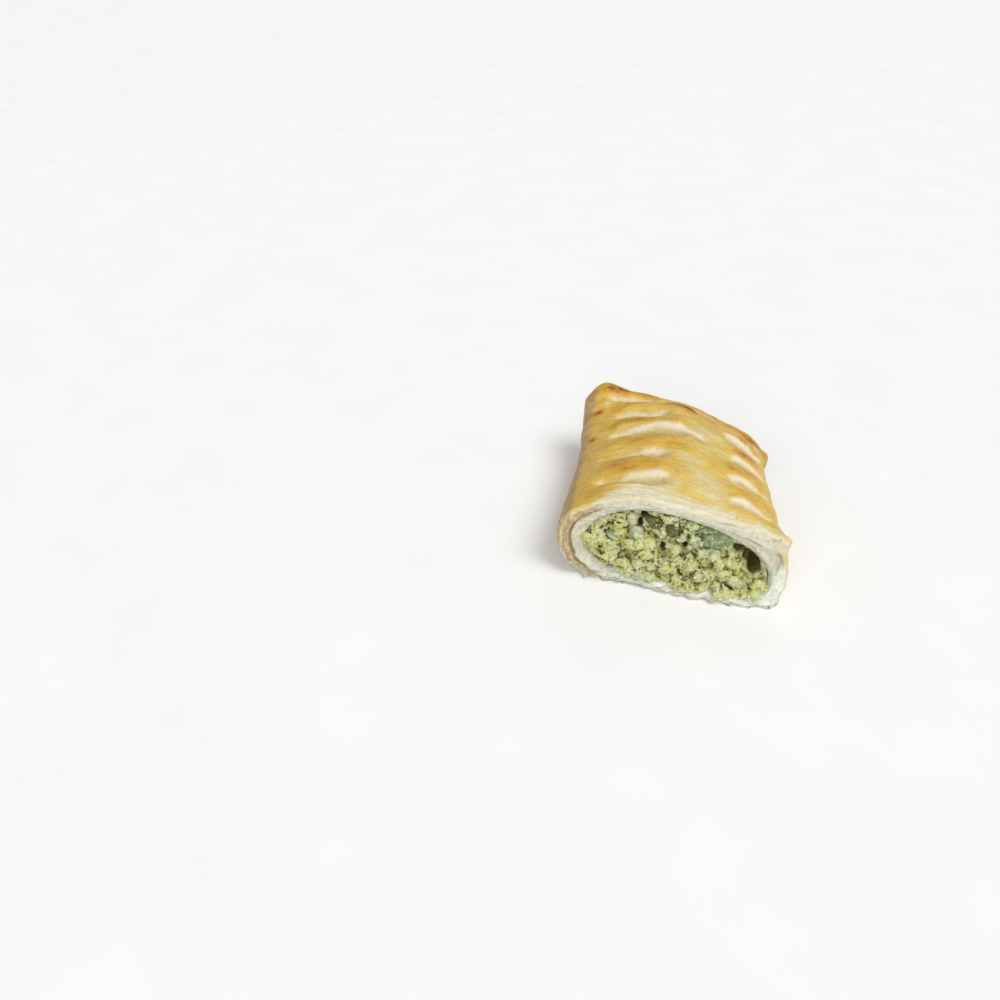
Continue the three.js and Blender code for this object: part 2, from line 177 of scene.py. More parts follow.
# Closed sections, one a row: over the top from the left edge to the right, then back underneath.
def section(size, ringPoints):
    leftTop, rightTop, rightWall, foot, leftWall = (np.arange(n)[None, :] / n for n in ringPoints)
    a = leftTop * math.pi / 2
    xs = [size["crownX"] - (size["crownX"] - size["leftX"]) * np.cos(a)]
    zs = [size["leftHeight"] + (size["crownHeight"] - size["leftHeight"]) * np.sin(a)
          - size["leftSag"] * np.sin(2 * a)]
    a = rightTop * math.pi / 2
    xs.append(size["crownX"] + (size["rightX"] - size["crownX"]) * np.sin(a))
    zs.append(size["rightHeight"] + (size["crownHeight"] - size["rightHeight"]) * np.cos(a)
              - size["rightSag"] * np.sin(2 * a))
    a = rightWall * math.pi / 2
    xs.append(size["rightX"] - size["rightFoot"] * (1 - np.cos(a)))
    zs.append(mix(size["rightHeight"], size["floor"], np.sin(a)))
    xs.append(mix(size["rightX"] - size["rightFoot"], size["leftX"] + size["leftFoot"], foot))
    zs.append(size["floor"] + 0 * foot)
    a = leftWall * math.pi / 2
    xs.append(size["leftX"] + size["leftFoot"] * (1 - np.sin(a)))
    zs.append(mix(size["floor"], size["leftHeight"], 1 - np.cos(a)))
    return np.concatenate(xs, 1), np.concatenate(zs, 1)


# The cut leans back as it rises. Its foot bows forward and is a little ragged.
def cutPlaneY(x, z):
    p = parcel
    across = np.clip((x - p["cutBowX"]) / p["cutBowReach"], -1, 1)
    bow = p["cutBow"] * np.maximum(np.cos(across * math.pi / 2), 0) ** 1.5
    ragged = p["cutRaggedness"] * (np.sin(0.9 * x + 0.6) + np.sin(1.7 * x + 2) * 0.6)
    return p["cutFootY"] + p["cutLean"] * z - (bow + ragged) * (1 - smooth(0, p["cutBowHeight"], z))


# The place along the parcel of row v: 0 is the cut, whole numbers are slits, and the last is the closed end.
def rowY(v, x, z):
    p = parcel
    acrossTop = smooth(*p["acrossTop"], x)
    marks = [cutPlaneY(x, z)]
    marks += [mix(left, right, acrossTop) for left, right in zip(slits["leftY"], slits["rightY"])]
    tuck = p["tuckDepth"] * bump(x - p["tuckX"], p["tuckReach"]) * (1 - smooth(4, p["tuckHeight"], z))
    marks.append(mix(slits["endLeftY"], slits["endRightY"], smooth(*p["acrossEnd"], x)) - tuck)
    marks = np.stack(np.broadcast_arrays(*marks))
    v = np.broadcast_to(v, marks.shape[1:])
    i = np.minimum(lastRow - 1, np.floor(v).astype(int))
    below = np.take_along_axis(marks, i[None], 0)[0]
    above = np.take_along_axis(marks, i[None] + 1, 0)[0]
    return mix(below, above, v - i)


# The nearest slit's values at row v.
def ofSlit(v, *names):
    i = np.clip(np.rint(v), 1, lastRow - 1).astype(int)
    return [i] + [np.asarray(slits[name], float)[i - 1] for name in names]


# Rises across one pair of places and falls across the next, from 0 to 1 and back.
def between(riseFrom, riseTo, fallFrom, fallTo, value):
    return smooth(riseFrom, riseTo, value) * (1 - smooth(fallFrom, fallTo, value))


# How much of a slit is at x near row v, how far beyond the slit's line that row lies, and how far it gapes.
def slitOpening(v, x, leftEnd="leftTo"):
    fade = slits["fade"]
    i, leftFrom, leftTo, rightFrom, rightTo, gapeX, gape = ofSlit(
        v, "leftFrom", leftEnd, "rightFrom", "rightTo", "gapeX", "gape")
    left = between(leftFrom - 1, leftFrom + fade, leftTo - fade, leftTo + 1, x)
    right = between(rightFrom - 1, rightFrom + fade, rightTo - fade, rightTo + 1, x)
    top = 30.0 + 0 * x                      # a height on the top, above what shapes the foot of the ends
    away = rowY(v, x, top) - rowY(i.astype(float), x, top)
    return np.maximum(left, right), away, gape * bump(x - gapeX, slits["gapeReach"])


# How far the top rises or sinks: open slits, and slats that puff up between them.
def slitRelief(v, x):
    s = slits
    span, away, gape = slitOpening(v, x)
    opening = bump(np.abs(away), np.where(away < 0, s["nearHalfWidth"] + gape, s["farHalfWidth"]))
    slat = np.sin(math.pi * (v - np.floor(v)) ** 1.2) ** 2 * smooth(0.2, 1, v) * (1 - smooth(5, 5.6, v))
    return span * (s["slatRise"] * slat - s["depth"] * opening)


def outsidePoints(v, inset, ringPoints):
    p = parcel
    v = np.asarray(v, float)
    x, z = section(station(p["outside"], v / lastRow), ringPoints)
    middle = p["middleHeight"]
    reach = np.hypot(x, z - middle)
    k = (reach - np.asarray(inset, float)[:, None]) / reach
    x = x * k
    z = np.maximum(0, mix(middle, z, k))
    v = v[:, None] + 0 * x
    y = rowY(v, x, z)
    wobble = unevenness(x, y, z) * smooth(0.5, 6, z)
    corner = p["earRise"] * bump(x - p["earX"], p["earReach"]) * bump(y - p["earY"], p["earReach"])
    lift = smooth(*p["shoulder"], z) * (slitRelief(v, x) + corner) + wobble
    push = p["lipPush"] * bump(y - p["lipY"], p["lipReach"]) * smooth(*p["lipX"], x)
    side = push * (1 - smooth(p["lipHeight"] - 3, p["lipHeight"], z))
    for high, out, tall, long in (p["tip"], p["cheek"]):
        side = side + out * bump(z - high, tall) * bump(v * p["firstSlat"], long) * smooth(*p["rightEdge"], x)
    side = side + wobble * 0.6
    return np.stack([x + side, y, np.maximum(0, z + lift)], -1)


# Rings of the inside. Depth 0 is the cut and 1 is the far wall of the space.
def insidePoints(depth, grow, forward, ringPoints):
    depth = np.asarray(depth, float)
    size = station(parcel["inside"], depth)
    size["leftX"] = size["leftX"] - grow
    size["rightX"] = size["rightX"] + grow
    size["crownHeight"] = size["crownHeight"] + grow
    size["floor"] = size["floor"] - grow
    x, z = section(size, ringPoints)
    front = cutPlaneY(x, z) - forward
    back = rowY(float(lastRow) + 0 * x, x, z) - parcel["wallThickness"] + grow
    return np.stack([x, mix(front, back, depth[:, None]), z], -1)


def toFrame(points):
    return (points + frameShift) * mm


def gridNormals(grid):
    around = np.roll(grid, -1, 1) - np.roll(grid, 1, 1)
    lengthwise = np.empty_like(grid)
    lengthwise[1:-1] = grid[2:] - grid[:-2]
    lengthwise[0] = grid[1] - grid[0]
    lengthwise[-1] = grid[-1] - grid[-2]
    normal = np.cross(around, lengthwise)
    return normal / np.maximum(np.linalg.norm(normal, axis=-1, keepdims=True), 1e-9)


def linkPiece(name, mesh):
    piece = bpy.data.objects.new(name, mesh)
    bpy.context.scene.collection.objects.link(piece)
    return piece


def setAttribute(mesh, key, values):
    layer = mesh.attributes.get(key) or mesh.attributes.new(key, "FLOAT", "POINT")
    layer.data.foreach_set("value", np.asarray(values, np.float32))


# A closed skin over rows of points. Each end closes on the middle of its row.
def skinMesh(name, grid, attributes):
    rows, count = grid.shape[:2]
    points = np.concatenate([grid.reshape(-1, 3), grid[0].mean(0)[None], grid[-1].mean(0)[None]])
    r, i = np.meshgrid(np.arange(rows - 1), np.arange(count), indexing="ij")
    a = r * count + i
    b = r * count + (i + 1) % count
    quads = np.stack([a, b, b + count, a + count], -1).reshape(-1, 4)
    i = np.arange(count)
    j = (i + 1) % count
    end = (rows - 1) * count
    first = np.stack([np.full(count, rows * count), j, i], -1)
    last = np.stack([np.full(count, rows * count + 1), end + i, end + j], -1)
    mesh = bpy.data.meshes.new(name)
    mesh.from_pydata(toFrame(points).tolist(), [], quads.tolist() + first.tolist() + last.tolist())
    mesh.shade_smooth()
    for key, values in attributes.items():
        setAttribute(mesh, key, np.concatenate([values.reshape(-1), [values[0].mean(), values[-1].mean()]]))
    mesh.update()
    return linkPiece(name, mesh)


def linear(hexCode):
    values = [int(hexCode[i:i + 2], 16) / 255 for i in (1, 3, 5)]
    return tuple(c / 12.92 if c <= 0.04045 else ((c + 0.055) / 1.055) ** 2.4 for c in values) + (1.0,)


# Adds one node and gives back the output that is taken. Stops are the colours of a ramp.
def addNode(tree, kind, inputs=None, take=0, stops=(), **settings):
    node = tree.nodes.new(kind)
    for key, value in settings.items():
        setattr(node, key, value)
    for key, value in (inputs or {}).items():
        if isinstance(value, bpy.types.NodeSocket):
            tree.links.new(value, node.inputs[key])
        else:
            node.inputs[key].default_value = value
    for number, (position, colour) in enumerate(stops):
        elements = node.color_ramp.elements
        element = elements[number] if number < len(elements) else elements.new(position)
        element.position = position
        element.color = linear(colour)
    return node.outputs[take] if node.outputs else node


# A material of one principled shader. The finish works out the shader's inputs in the material's tree.
def makeMaterial(name, finish, *given):
    material = bpy.data.materials.new(name)
    material.use_nodes = True
    tree = material.node_tree
    tree.nodes.clear()
    place = addNode(tree, "ShaderNodeTexCoord", take="Object")
    shader = addNode(tree, "ShaderNodeBsdfPrincipled", finish(tree, place, *given))
    addNode(tree, "ShaderNodeOutputMaterial", {"Surface": shader})
    return material


crust = {
    "ringPoints": (104, 116, 48, 34, 64),   # left top, right top, right wall, underside, left wall
    "rowsPerSlat": 25, "endRows": 30, "faceRows": 24, "turnRows": 11,
    "insideDepths": (1, 0.85, 0.6, 0.35, 0.2, 0.13, 0.09, 0.06, 0.04, 0.025, 0.012),
    "innerEdge": (0.8, -0.3),               # mm, how far the inside flares at the cut and stands back
    "roundOver": 1.2, "roundRows": 0.1,     # mm and rows, the baked skin turning down to the cut
    "endRounding": ((0.05, 0.15), (0.02, 0.45), (0, 0.9)),      # rows before the closed end, and mm inward
    "faceSwell": 1.2,                       # mm, the cut layers stand out
    "gap": 1.5, "gapAt": 0.42, "gapX": (-37, -29),       # mm deep, the gap between two layers on the left
    "onTop": (9, 21), "lowDown": (7, 15),   # mm up, between which the top begins and the low edge ends
    "rowLength": 16,                        # mm from slit to slit, for patterns that follow the slats
    "lip": 0.4,                             # mm, the near edge of each slit, puffed up
    "blister": 0.34,                        # mm, height of the puffed skin's unevenness
    "flake": 0.28,                          # mm, height of the flaky lines that follow the slats
    "leaf": 0.4,                            # mm, height of the layers' edges at the cut
    "torn": 1.1, "tornLeft": -20,           # mm, ragged edge of the bottom layer, and where it is more so
    "ragged": 0.35,                         # mm, ragged edge of the rest of the cut
    "corner": 0.7, "cornerX": (30, 36), "cornerZ": (9, 20),     # mm, unevenness of the cut's lower corners
    "outerX": (-38, -26), "seamX": (-34, -24),           # where the left's outer layer and its seam fade out
    # unevenness: layers of noise, each with a share, the size of its cells in mm and a seed
    "waves": {
        "wide": [(1, (13, 10, 12), 21)], "patches": [(1, (5, 3.5, 5), 29)],
        "endPatches": [(1, (4, 3, 4), 22)],
        "streaks": [(0.6, (8, 1.0, 1), 27), (0.4, (4, 0.55, 1), 28)],
        "bandWidth": [(0.2, (6, 30, 30), 24)], "bandEnds": [(0.3, (4, 2, 3), 35)],
        "bandEdge": [(0.8, (3.4, 6, 6), 23), (0.5, (1.1, 2, 3), 26)],
        "slitCracks": [(1, (7, 30, 30), 25)],
        "blisters": [(0.6, (7, 5, 6), 1), (0.45, (2.6, 1.9, 2.4), 2)],
        "flakes": [(1, (7, 0.8, 1), 3)], "flakyPlaces": [(1, (14, 9, 12), 4)],
        "leaves": [(1, (4.5, 0.9, 3), 6)],
        "cutFace": [(0.4, (3.2, 2.6, 1.9), 7), (0.24, (0.9, 0.9, 0.8), 10)],
        "innerEdge": [(0.4, (6, 9, 6), 36)], "corner": [(1, (3, 1.6, 1.6), 11)],
        "ragged": [(1, (3.5, 9, 3), 20), (0.6, (1.3, 4, 1.3), 30)],
        "torn": [(0.6, (2.1, 5, 2.5), 8), (0.45, (0.9, 2, 1.2), 9)],
        "paleEdge": [(0.2, (6, 5, 5), 12)], "paleLines": [(0.16, (6, 0.9, 1), 15)],
        "straw": [(0.07, (7, 0.8, 1), 16)], "drop": [(0.6, (1.2, 1.2, 1.2), 17)],
        "frontCrack": [(0.03, (5, 5, 5), 18)], "frontCrackParts": [(1, (5, 30, 30), 19)],
        "outerEdge": [(0.08, (3, 3, 3), 13)], "seam": [(0.05, (4, 4, 4), 33)],
        "flakedPlaces": [(1, (8, 8, 4), 14)], "wallEdge": [(0.6, (4, 4, 4), 34)],
    },
    # mm from a slit's line: where bare dough begins and ends, and the crack, painted dark as shade, and the
    # lip along its near edge
    "bareFrom": (-0.7, 0.2), "bareTo": (-1.3, 1.5), "crackAt": (0.2, 0.3), "lipAt": (1.3, 0.9),
    "rightColumn": 6, "crackedSlits": 4,
    # how baked each part is, from 0 raw and white to 1 dark brown
    "top": 0.34, "slatTop": (0.02, 0.14),   # the top, and more on a slat's middle: everywhere, on the columns
    "columns": ((-40, -30, -6, 6), (12, 20)),            # mm across, the left column's edges and the right's
    "end": (0.18, 1.0, 8),                  # more at the closed end, and between which mm from it that fades
    "leftWall": (0.22, 0.24, 5, 35),        # at the cut, how much more at the end, and between which Y
    "rightWall": (0.2, 0.14, -20, 20),
    "endWall": (0.22, 0.2), "ridge": 0.42,  # the closed end, how much more its ridge, and the ridge's share
    "wallTop": (7, 19),                     # mm up, between which a wall's browning turns into the top's
    # mm: where the darker walls begin, on the left across, else by height: unwashed pastry and painted shade
    "wallX": (-43.6, -39.8), "rightWallZ": (9, 18), "footZ": (8, 16), "endWallZ": (10, 26),
    # mm: where the filling soaked the cut, up to a height, and higher on the right; there the dough is paler,
    # partly as painted light on the low cut face
    "wetZ": (3, 11), "wetX": (18, 30), "wetRightZ": (8, 18),
    # spots that browned more or less than the rest: across in mm, row, reach across, reach in rows, how much
    "spots": (
        (-3, 2.32, 5, 0.2, 0.08), (-20, 2.58, 15, 0.26, 0.12), (-25, 1.55, 11, 0.3, 0.06),
        (21, 2.6, 7, 0.22, 0.17), (23, 3.53, 6, 0.2, 0.34), (22, 4.62, 5, 0.25, 0.18),
        (25, 1.65, 7, 0.2, 0.06), (-38, 0.7, 7, 0.5, 0.13), (-40, 2.2, 4, 1.4, 0.17),
        (-24, 3.7, 9, 0.22, 0.3), (-26, 4.65, 8, 0.26, 0.16), (6, 1.5, 9, 0.9, -0.12),
        (2, 3.4, 9, 0.4, -0.1), (4, 3.27, 6, 0.12, -0.16), (1, 2.2, 5, 0.4, -0.03),
        (29, 0.6, 8, 0.16, 0.05), (-39.0, 4.6, 2.0, 0.16, 0.46), (-38.4, 5.02, 2.6, 0.1, 0.3),
        (-39.6, 3.25, 1.7, 0.15, 0.36), (-6, 4.6, 5, 0.2, 0.3), (1, 4.66, 6, 0.18, 0.36),
        (10, 4.9, 8, 0.3, 0.26), (-13, 5.75, 9, 0.25, 0.16), (25, 5.6, 5, 0.3, 0.04),
        (-35, 5.56, 7, 0.3, 0.34), (-28, 5.8, 6, 0.2, 0.24), (31, 5.3, 5, 0.4, 0.22),
        (38, 0.3, 4, 0.3, -0.2)),
    # how far from the cut the skin stays pale, in rows, at places across
    "paleAt": (-46, -40, -36, -32, -28, -22, -14, -5, 2, 10, 20, 30, 37, 40),
    "paleReach": (-0.3, -0.2, 0.0, 0.16, 0.42, 0.86, 1.12, 1.14, 1.0, 0.84, 0.6, 0.34, 0.2, 0.0),
    "paleShare": 0.9, "straw": (0.04, 0.1, 0.24, -12, 2),       # how baked the pale front is, left and right
    "frontCrack": (-27, -10, 0.7),          # a dark crack in the pale front: from and to across, its row
    "drop": (35.7, 23.8, 1.3, 0.36),        # a browned drop on the cut: across, height, reach, how baked
    # the finish's patterns: size in mm, detail, roughness and distortion
    "mottle": (3.333, 5.0, 0.66, 0.4), "grain": (0.5263, 3.0, 0.5, 0.0), "crumb": (1.613, 4.0, 0.7, 0.0),
    "streaks": (1.0, 4.0, 0.65, 0.0), "streakStretch": (0.16, 1, 0.6), "speckSpacing": 5.263,
    "colours": {
        "skin": ((0.0, "#e8e4d2"), (0.16, "#e4dbba"), (0.3, "#dfca8e"), (0.44, "#dfc063"), (0.6, "#dab046"),
                 (0.76, "#cc9834"), (0.88, "#a8681e"), (1.0, "#7c2e0e")),
        # the walls' colours, a duller and darker copy of the skin's: unwashed pastry, and painted shade
        "wall": ((0.08, "#d6c9a4"), (0.3, "#c9b486"), (0.5, "#b98f4f"), (0.68, "#9c6a30"), (0.9, "#7a4720")),
        "dough": ((0.25, "#bcb79c"), (0.47, "#d2ceb8"), (0.7, "#e0decd")),
        "torn": ((0.3, "#9b8658"), (0.48, "#bfaa80"), (0.66, "#d8cbab")),
        # soaked dough, mint cream made paler than the dough itself, partly painted light on the low cut face
        "wetAndLit": ((0.35, "#d1d7c4"), (0.5, "#e5eadc"), (0.65, "#f5f7ee")),
        # bare dough, tan low in its band and near-white at its far edge, partly a painted highlight
        "opened": ((0.22, "#cdb27b"), (0.4, "#dfcb9a"), (0.62, "#e9e0c2"), (0.88, "#f4eddb")),
        # layer lines: the dough's own, and painted shade in the seam; crack: painted shade at the slits' near
        # edges
        "layerLinesAndSeamShade": "#a58c5e", "crack": "#6f5628", "specks": "#b07c3a",
    },
}


# Egg-washed puff pastry. It is glossy gold where the slats puffed up and the wash browned, dull tan on the
# walls that the wash missed and darker there with painted shade, cream where a slit opened and bare dough
# shows, whiter at its far edge partly as a painted highlight, with painted shade in the slits' cracks, and
# white and matt at the cut, where the soaked dough is partly painted light.
def pastryFinish(tree, place):
    c = crust
    colours = c["colours"]
    marks = {key: addNode(tree, "ShaderNodeAttribute", take="Fac", attribute_name=key)
             for key in ("bake", "wall", "raw", "bare", "up_band", "crack", "outer_layer", "layer_lines_and_seam_shade",
                         "moist", "glaze")}
    stretched = addNode(tree, "ShaderNodeMapping", {"Vector": place, "Scale": c["streakStretch"]})
    mottle, grain, crumb, streaks = (
        addNode(tree, "ShaderNodeTexNoise", {
            "Vector": source, "Scale": 1 / (size * mm), "Detail": detail, "Roughness": roughness,
            "Distortion": distortion})
        for source, (size, detail, roughness, distortion) in (
            (place, c["mottle"]), (place, c["grain"]), (place, c["crumb"]), (stretched, c["streaks"])))
    baked, pale, relief = marks["bake"], marks["up_band"], grain
    for pattern, share in ((mottle, 0.4), (streaks, 0.44), (grain, 0.22)):
        baked = addNode(tree, "ShaderNodeMath", {0: pattern, 1: share, 2: baked}, operation="MULTIPLY_ADD")
    baked = addNode(tree, "ShaderNodeMath", {0: baked, 1: 0.45}, operation="SUBTRACT")
    for pattern, share in ((mottle, 0.5), (streaks, 0.4)):
        pale = addNode(tree, "ShaderNodeMath", {0: pattern, 1: share, 2: pale}, operation="MULTIPLY_ADD")
    pale = addNode(tree, "ShaderNodeMath", {0: pale, 1: 0.6}, operation="MULTIPLY")
    for pattern, share in ((crumb, 1.0), (streaks, 1.3)):
        relief = addNode(tree, "ShaderNodeMath", {0: pattern, 1: share, 2: relief}, operation="MULTIPLY_ADD")
    skin, wall, dough, torn, wetAndLit, opened = (
        addNode(tree, "ShaderNodeValToRGB", {"Fac": pattern}, stops=colours[key])
        for key, pattern in (("skin", baked), ("wall", baked), ("dough", crumb), ("torn", crumb),
                             ("wetAndLit", crumb), ("opened", pale)))
    specks = addNode(tree, "ShaderNodeTexVoronoi", {"Vector": place, "Scale": 1 / (c["speckSpacing"] * mm)})
    marks["specks"] = addNode(tree, "ShaderNodeMapRange", {
        "Value": specks, "From Min": 0.06, "From Max": 0.13, "To Min": 0.5, "To Max": 0.0})
    cut = dough
    layerLinesAndSeamShade = linear(colours["layerLinesAndSeamShade"])
    for key, cover in (("outer_layer", torn), ("layer_lines_and_seam_shade", layerLinesAndSeamShade), ("moist", wetAndLit)):
        cut = addNode(tree, "ShaderNodeMix", {0: marks[key], 6: cut, 7: cover}, take=2, data_type="RGBA")
    # over the skin: the walls' colour, partly painted shade, the cut, bare dough with a painted highlight in
    # part at its far edge, the cracks' painted shade, and specks
    colour = skin
    for key, cover in (("wall", wall), ("raw", cut), ("bare", opened), ("crack", linear(colours["crack"])),
                       ("specks", linear(colours["specks"]))):
        colour = addNode(tree, "ShaderNodeMix", {0: marks[key], 6: colour, 7: cover}, take=2,
                         data_type="RGBA")
    matt = addNode(tree, "ShaderNodeMath", {0: marks["glaze"], 1: -0.36, 2: 0.56}, operation="MULTIPLY_ADD")
    rough = addNode(tree, "ShaderNodeMath", {0: mottle, 1: 0.25, 2: matt}, operation="MULTIPLY_ADD")
    normal = addNode(tree, "ShaderNodeBump", {
        "Height": relief, "Strength": 0.7, "Distance": 0.6 * mm}, take="Normal")
    return {"Base Color": colour, "Roughness": rough, "Normal": normal, "IOR": 1.46,
            "Specular IOR Level": 0.4, "Subsurface Weight": 0.06,
            "Subsurface Radius": (4 * mm, 2.5 * mm, 1.2 * mm), "Subsurface Scale": 0.4}


# The layers of one kind of unevenness, added up.
def waves(key, points):
    return sum(share * noise(points, cell, seed) for share, cell, seed in crust["waves"][key])


# The whole skin as rows of points, and where each point is before any relief: its row, how far it is across
# the cut face and the closed end, and which part of the skin it is on.
def crustRows():
    c = crust
    ring = c["ringPoints"]
    inner = insidePoints(c["insideDepths"], 0, 0, ring)
    innerEdge = insidePoints([0], *c["innerEdge"], ring)
    turn = np.linspace(0, math.pi / 2, c["turnRows"])
    body = np.arange(c["roundRows"] + 0.025, lastRow - 0.06, 1 / c["rowsPerSlat"])
    endRows, endInset = zip(*c["endRounding"])
    rows = np.concatenate([c["roundRows"] * (1 - np.cos(turn)), body, lastRow - np.array(endRows)])
    inset = np.concatenate([c["roundOver"] * (1 - np.sin(turn)), np.zeros(len(body)), endInset])
    outer = outsidePoints(rows, inset, ring)

    faceK = np.linspace(1, 0, c["faceRows"] + 2)[1:-1][:, None]
    face = mix(outer[0][None], innerEdge, faceK[..., None])
    gap = c["gap"] * (1 - smooth(*c["gapX"], face[..., 0])) * bump(faceK - c["gapAt"], 0.05)
    swell = c["faceSwell"] * mix(0.3, 1, smooth(1, 9, face[..., 2]))
    face[..., 1] += gap - swell * np.sin(math.pi * faceK) ** 0.8

    endK = (np.linspace(0, 1, c["endRows"] + 1)[1:] ** 1.3 * 0.97)[:, None]
    x = mix(outer[-1][None, :, 0], parcel["wallCentre"][0], endK)
    z = mix(outer[-1][None, :, 2], parcel["wallCentre"][1], endK)
    outward = (parcel["wallRidge"] * smooth(0, 0.08, endK)
               - parcel["wallOverhang"] * smooth(0.05, 0.25, endK) * smooth(2, 10, z))
    end = np.stack([x, rowY(float(lastRow) + 0 * x, x, z) + outward, z], -1)

    grid = np.concatenate([inner, innerEdge, face, outer, end])
    counts = (len(inner) + 1, len(face), len(outer), len(end))
    wide = np.ones(grid.shape[1])
    part = np.repeat(range(4), counts)[:, None] * wide
    at = SimpleNamespace(x=grid[..., 0], y=grid[..., 1], z=grid[..., 2])
    at.v, at.across, at.inEnd = (np.concatenate(parts)[:, None] * wide for parts in (
        (np.zeros(counts[0] + counts[1]), rows, np.full(counts[3], lastRow)),
        (np.ones(counts[0]), faceK[:, 0], np.zeros(counts[2] + counts[3])),
        (np.zeros(sum(counts[:3])), endK[:, 0])))
    at.inside, at.onFace, at.outside, at.onEnd = (part == number for number in range(4))
    at.onTop = smooth(*c["onTop"], at.z) * at.outside
    at.low = 1 - smooth(*c["lowDown"], at.z)
    at.byRow = np.stack([at.x, at.v * c["rowLength"], 0 * at.x], -1)
    at.leaves = waves("leaves", np.stack([at.x + 0.4 * at.z, at.across * 9, 0.3 * at.z], -1))
    return grid, at


# Where bare dough shows in the slits, how far it is up its band, the cracks along near edges, painted dark as
# shade, and the lips.
def bareDough(grid, at):
    c = crust
    span, away, gape = slitOpening(at.v, at.x, "leftBareTo")
    i, *bands = ofSlit(
        at.v, "leftBareX", "leftBare", "leftBareReach", "rightBareX", "rightBare", "rightBareReach")
    onRight = at.x > c["rightColumn"]
    here, widest, over = (np.where(onRight, right, left) for left, right in zip(bands, bands[3:]))
    reach = 1 + (widest - 1) * bump(at.x - here, over) * (1 + waves("bandWidth", grid))
    edge = waves("bandEdge", grid)
    bare = smooth(*c["bareFrom"], away + 0.9 * gape) * (1 - smooth(*c["bareTo"], away + edge - reach))
    # the band whitens towards its far edge: fresh-cut dough, and partly a painted highlight along that edge
    upBand = smooth(0.25, 1.0, (away + 0.7 * edge) / reach)
    # painted shade: a dark line along each slit's near edge, where the near slat hides the slit
    crack = bump(away + 1.1 * gape + c["crackAt"][0], c["crackAt"][1])
    crack = crack * smooth(0.0, 0.5, waves("slitCracks", grid) + 0.2) * (i < c["crackedSlits"])
    lip = bump(away + gape + c["lipAt"][0], c["lipAt"][1]) * span * at.onTop
    ends = smooth(0.0, 0.8, span + waves("bandEnds", grid) * (span > 0.02))
    return bare * ends * at.onTop, upBand, crack * span * at.onTop, lip


# How baked each point is: the spots and streaks of the top, the walls, and the closed end with its ridge.
def browning(grid, at):
    c = crust
    x, y, z = at.x, at.y, at.z
    wide, patches = waves("wide", grid), waves("patches", grid)
    slat = np.sin(math.pi * np.clip(at.v - np.floor(at.v), 0, 1)) ** 2
    leftColumn, rightColumn = c["columns"]
    inColumns = np.maximum(between(*leftColumn, x), smooth(*rightColumn, x))
    everywhere, onColumns = c["slatTop"]
    bake = c["top"] + 0.08 * wide + 0.09 * patches + 0.12 * waves("streaks", at.byRow)
    bake = bake + (everywhere + onColumns * inColumns) * slat
    for acrossX, row, reachX, reachV, more in c["spots"]:
        bake = bake + more * bump(x - acrossX, reachX) * bump(at.v - row, reachV)
    more, near, far = c["end"]
    toEnd = rowY(float(lastRow) + 0 * x, x, z) - y
    bake += (1 - smooth(near, far, toEnd)) * (more + 0.14 * wide + 0.1 * waves("endPatches", grid))
    least, more, near, far = c["leftWall"]
    leftWall = least + 0.11 * wide + more * smooth(near, far, y)
    least, more, near, far = c["rightWall"]
    rightWall = least + 0.14 * wide + more * smooth(near, far, y)
    wall = mix(leftWall, rightWall, smooth(-10, 10, x)) + 0.09 * patches - 0.1 * (1 - smooth(0, 6, z))
    bake = mix(wall, bake, smooth(*c["wallTop"], z))
    ridge = 1 - smooth(0.0, c["ridge"], at.inEnd + 0.12 * patches)
    least, more = c["endWall"]
    endWall = least + 0.13 * wide + 0.11 * patches + more * ridge * smooth(6, 22, z)
    return np.clip(np.where(at.onEnd, endWall, bake), 0, 1)


# Blisters and flaky lines on the skin, the edges of the layers at the cut, and its ragged rim.
def roughened(grid, at, crack, lip):
    c = crust
    skin = c["blister"] * waves("blisters", grid) * (at.outside | at.onEnd)
    flaky = c["flake"] * waves("flakes", at.byRow) * smooth(-0.3, 0.5, waves("flakyPlaces", grid)) * at.onTop
    layered = (c["leaf"] * at.leaves + waves("cutFace", grid)) * at.onFace
    beyondGap = 1 - smooth(c["gapAt"] - 0.1, c["gapAt"] + 0.1, at.across)
    layered *= 1 + 0.9 * (1 - smooth(*c["outerX"], at.x)) * beyondGap
    rise = (skin + flaky + layered + c["lip"] * lip - 0.5 * crack) * smooth(0.0, 1.2, at.z)
    grid = grid + gridNormals(grid) * rise[..., None]
    grid[..., 2] += waves("innerEdge", grid) * smooth(0.5, 1, at.across) * np.where(at.z > 16, at.onFace, 0)
    nearCut = np.where(at.onFace, 1 - at.across * 0.9, np.where(at.outside, 1 - smooth(0, 0.12, at.v), 0))
    grid[..., 1] -= c["ragged"] * nearCut * (1 - at.low) * waves("ragged", grid)
    grid[..., 1] -= c["torn"] * at.low * (1 + 0.6 * (at.x < c["tornLeft"])) * nearCut * waves("torn", grid)
    corner = (1 - smooth(*c["cornerZ"], at.z)) * smooth(*c["cornerX"], np.abs(at.x))
    grid[..., 0] += c["corner"] * np.sign(at.x) * corner * nearCut * waves("corner", grid)
    grid[..., 2] = np.maximum(grid[..., 2], 0)
    return grid


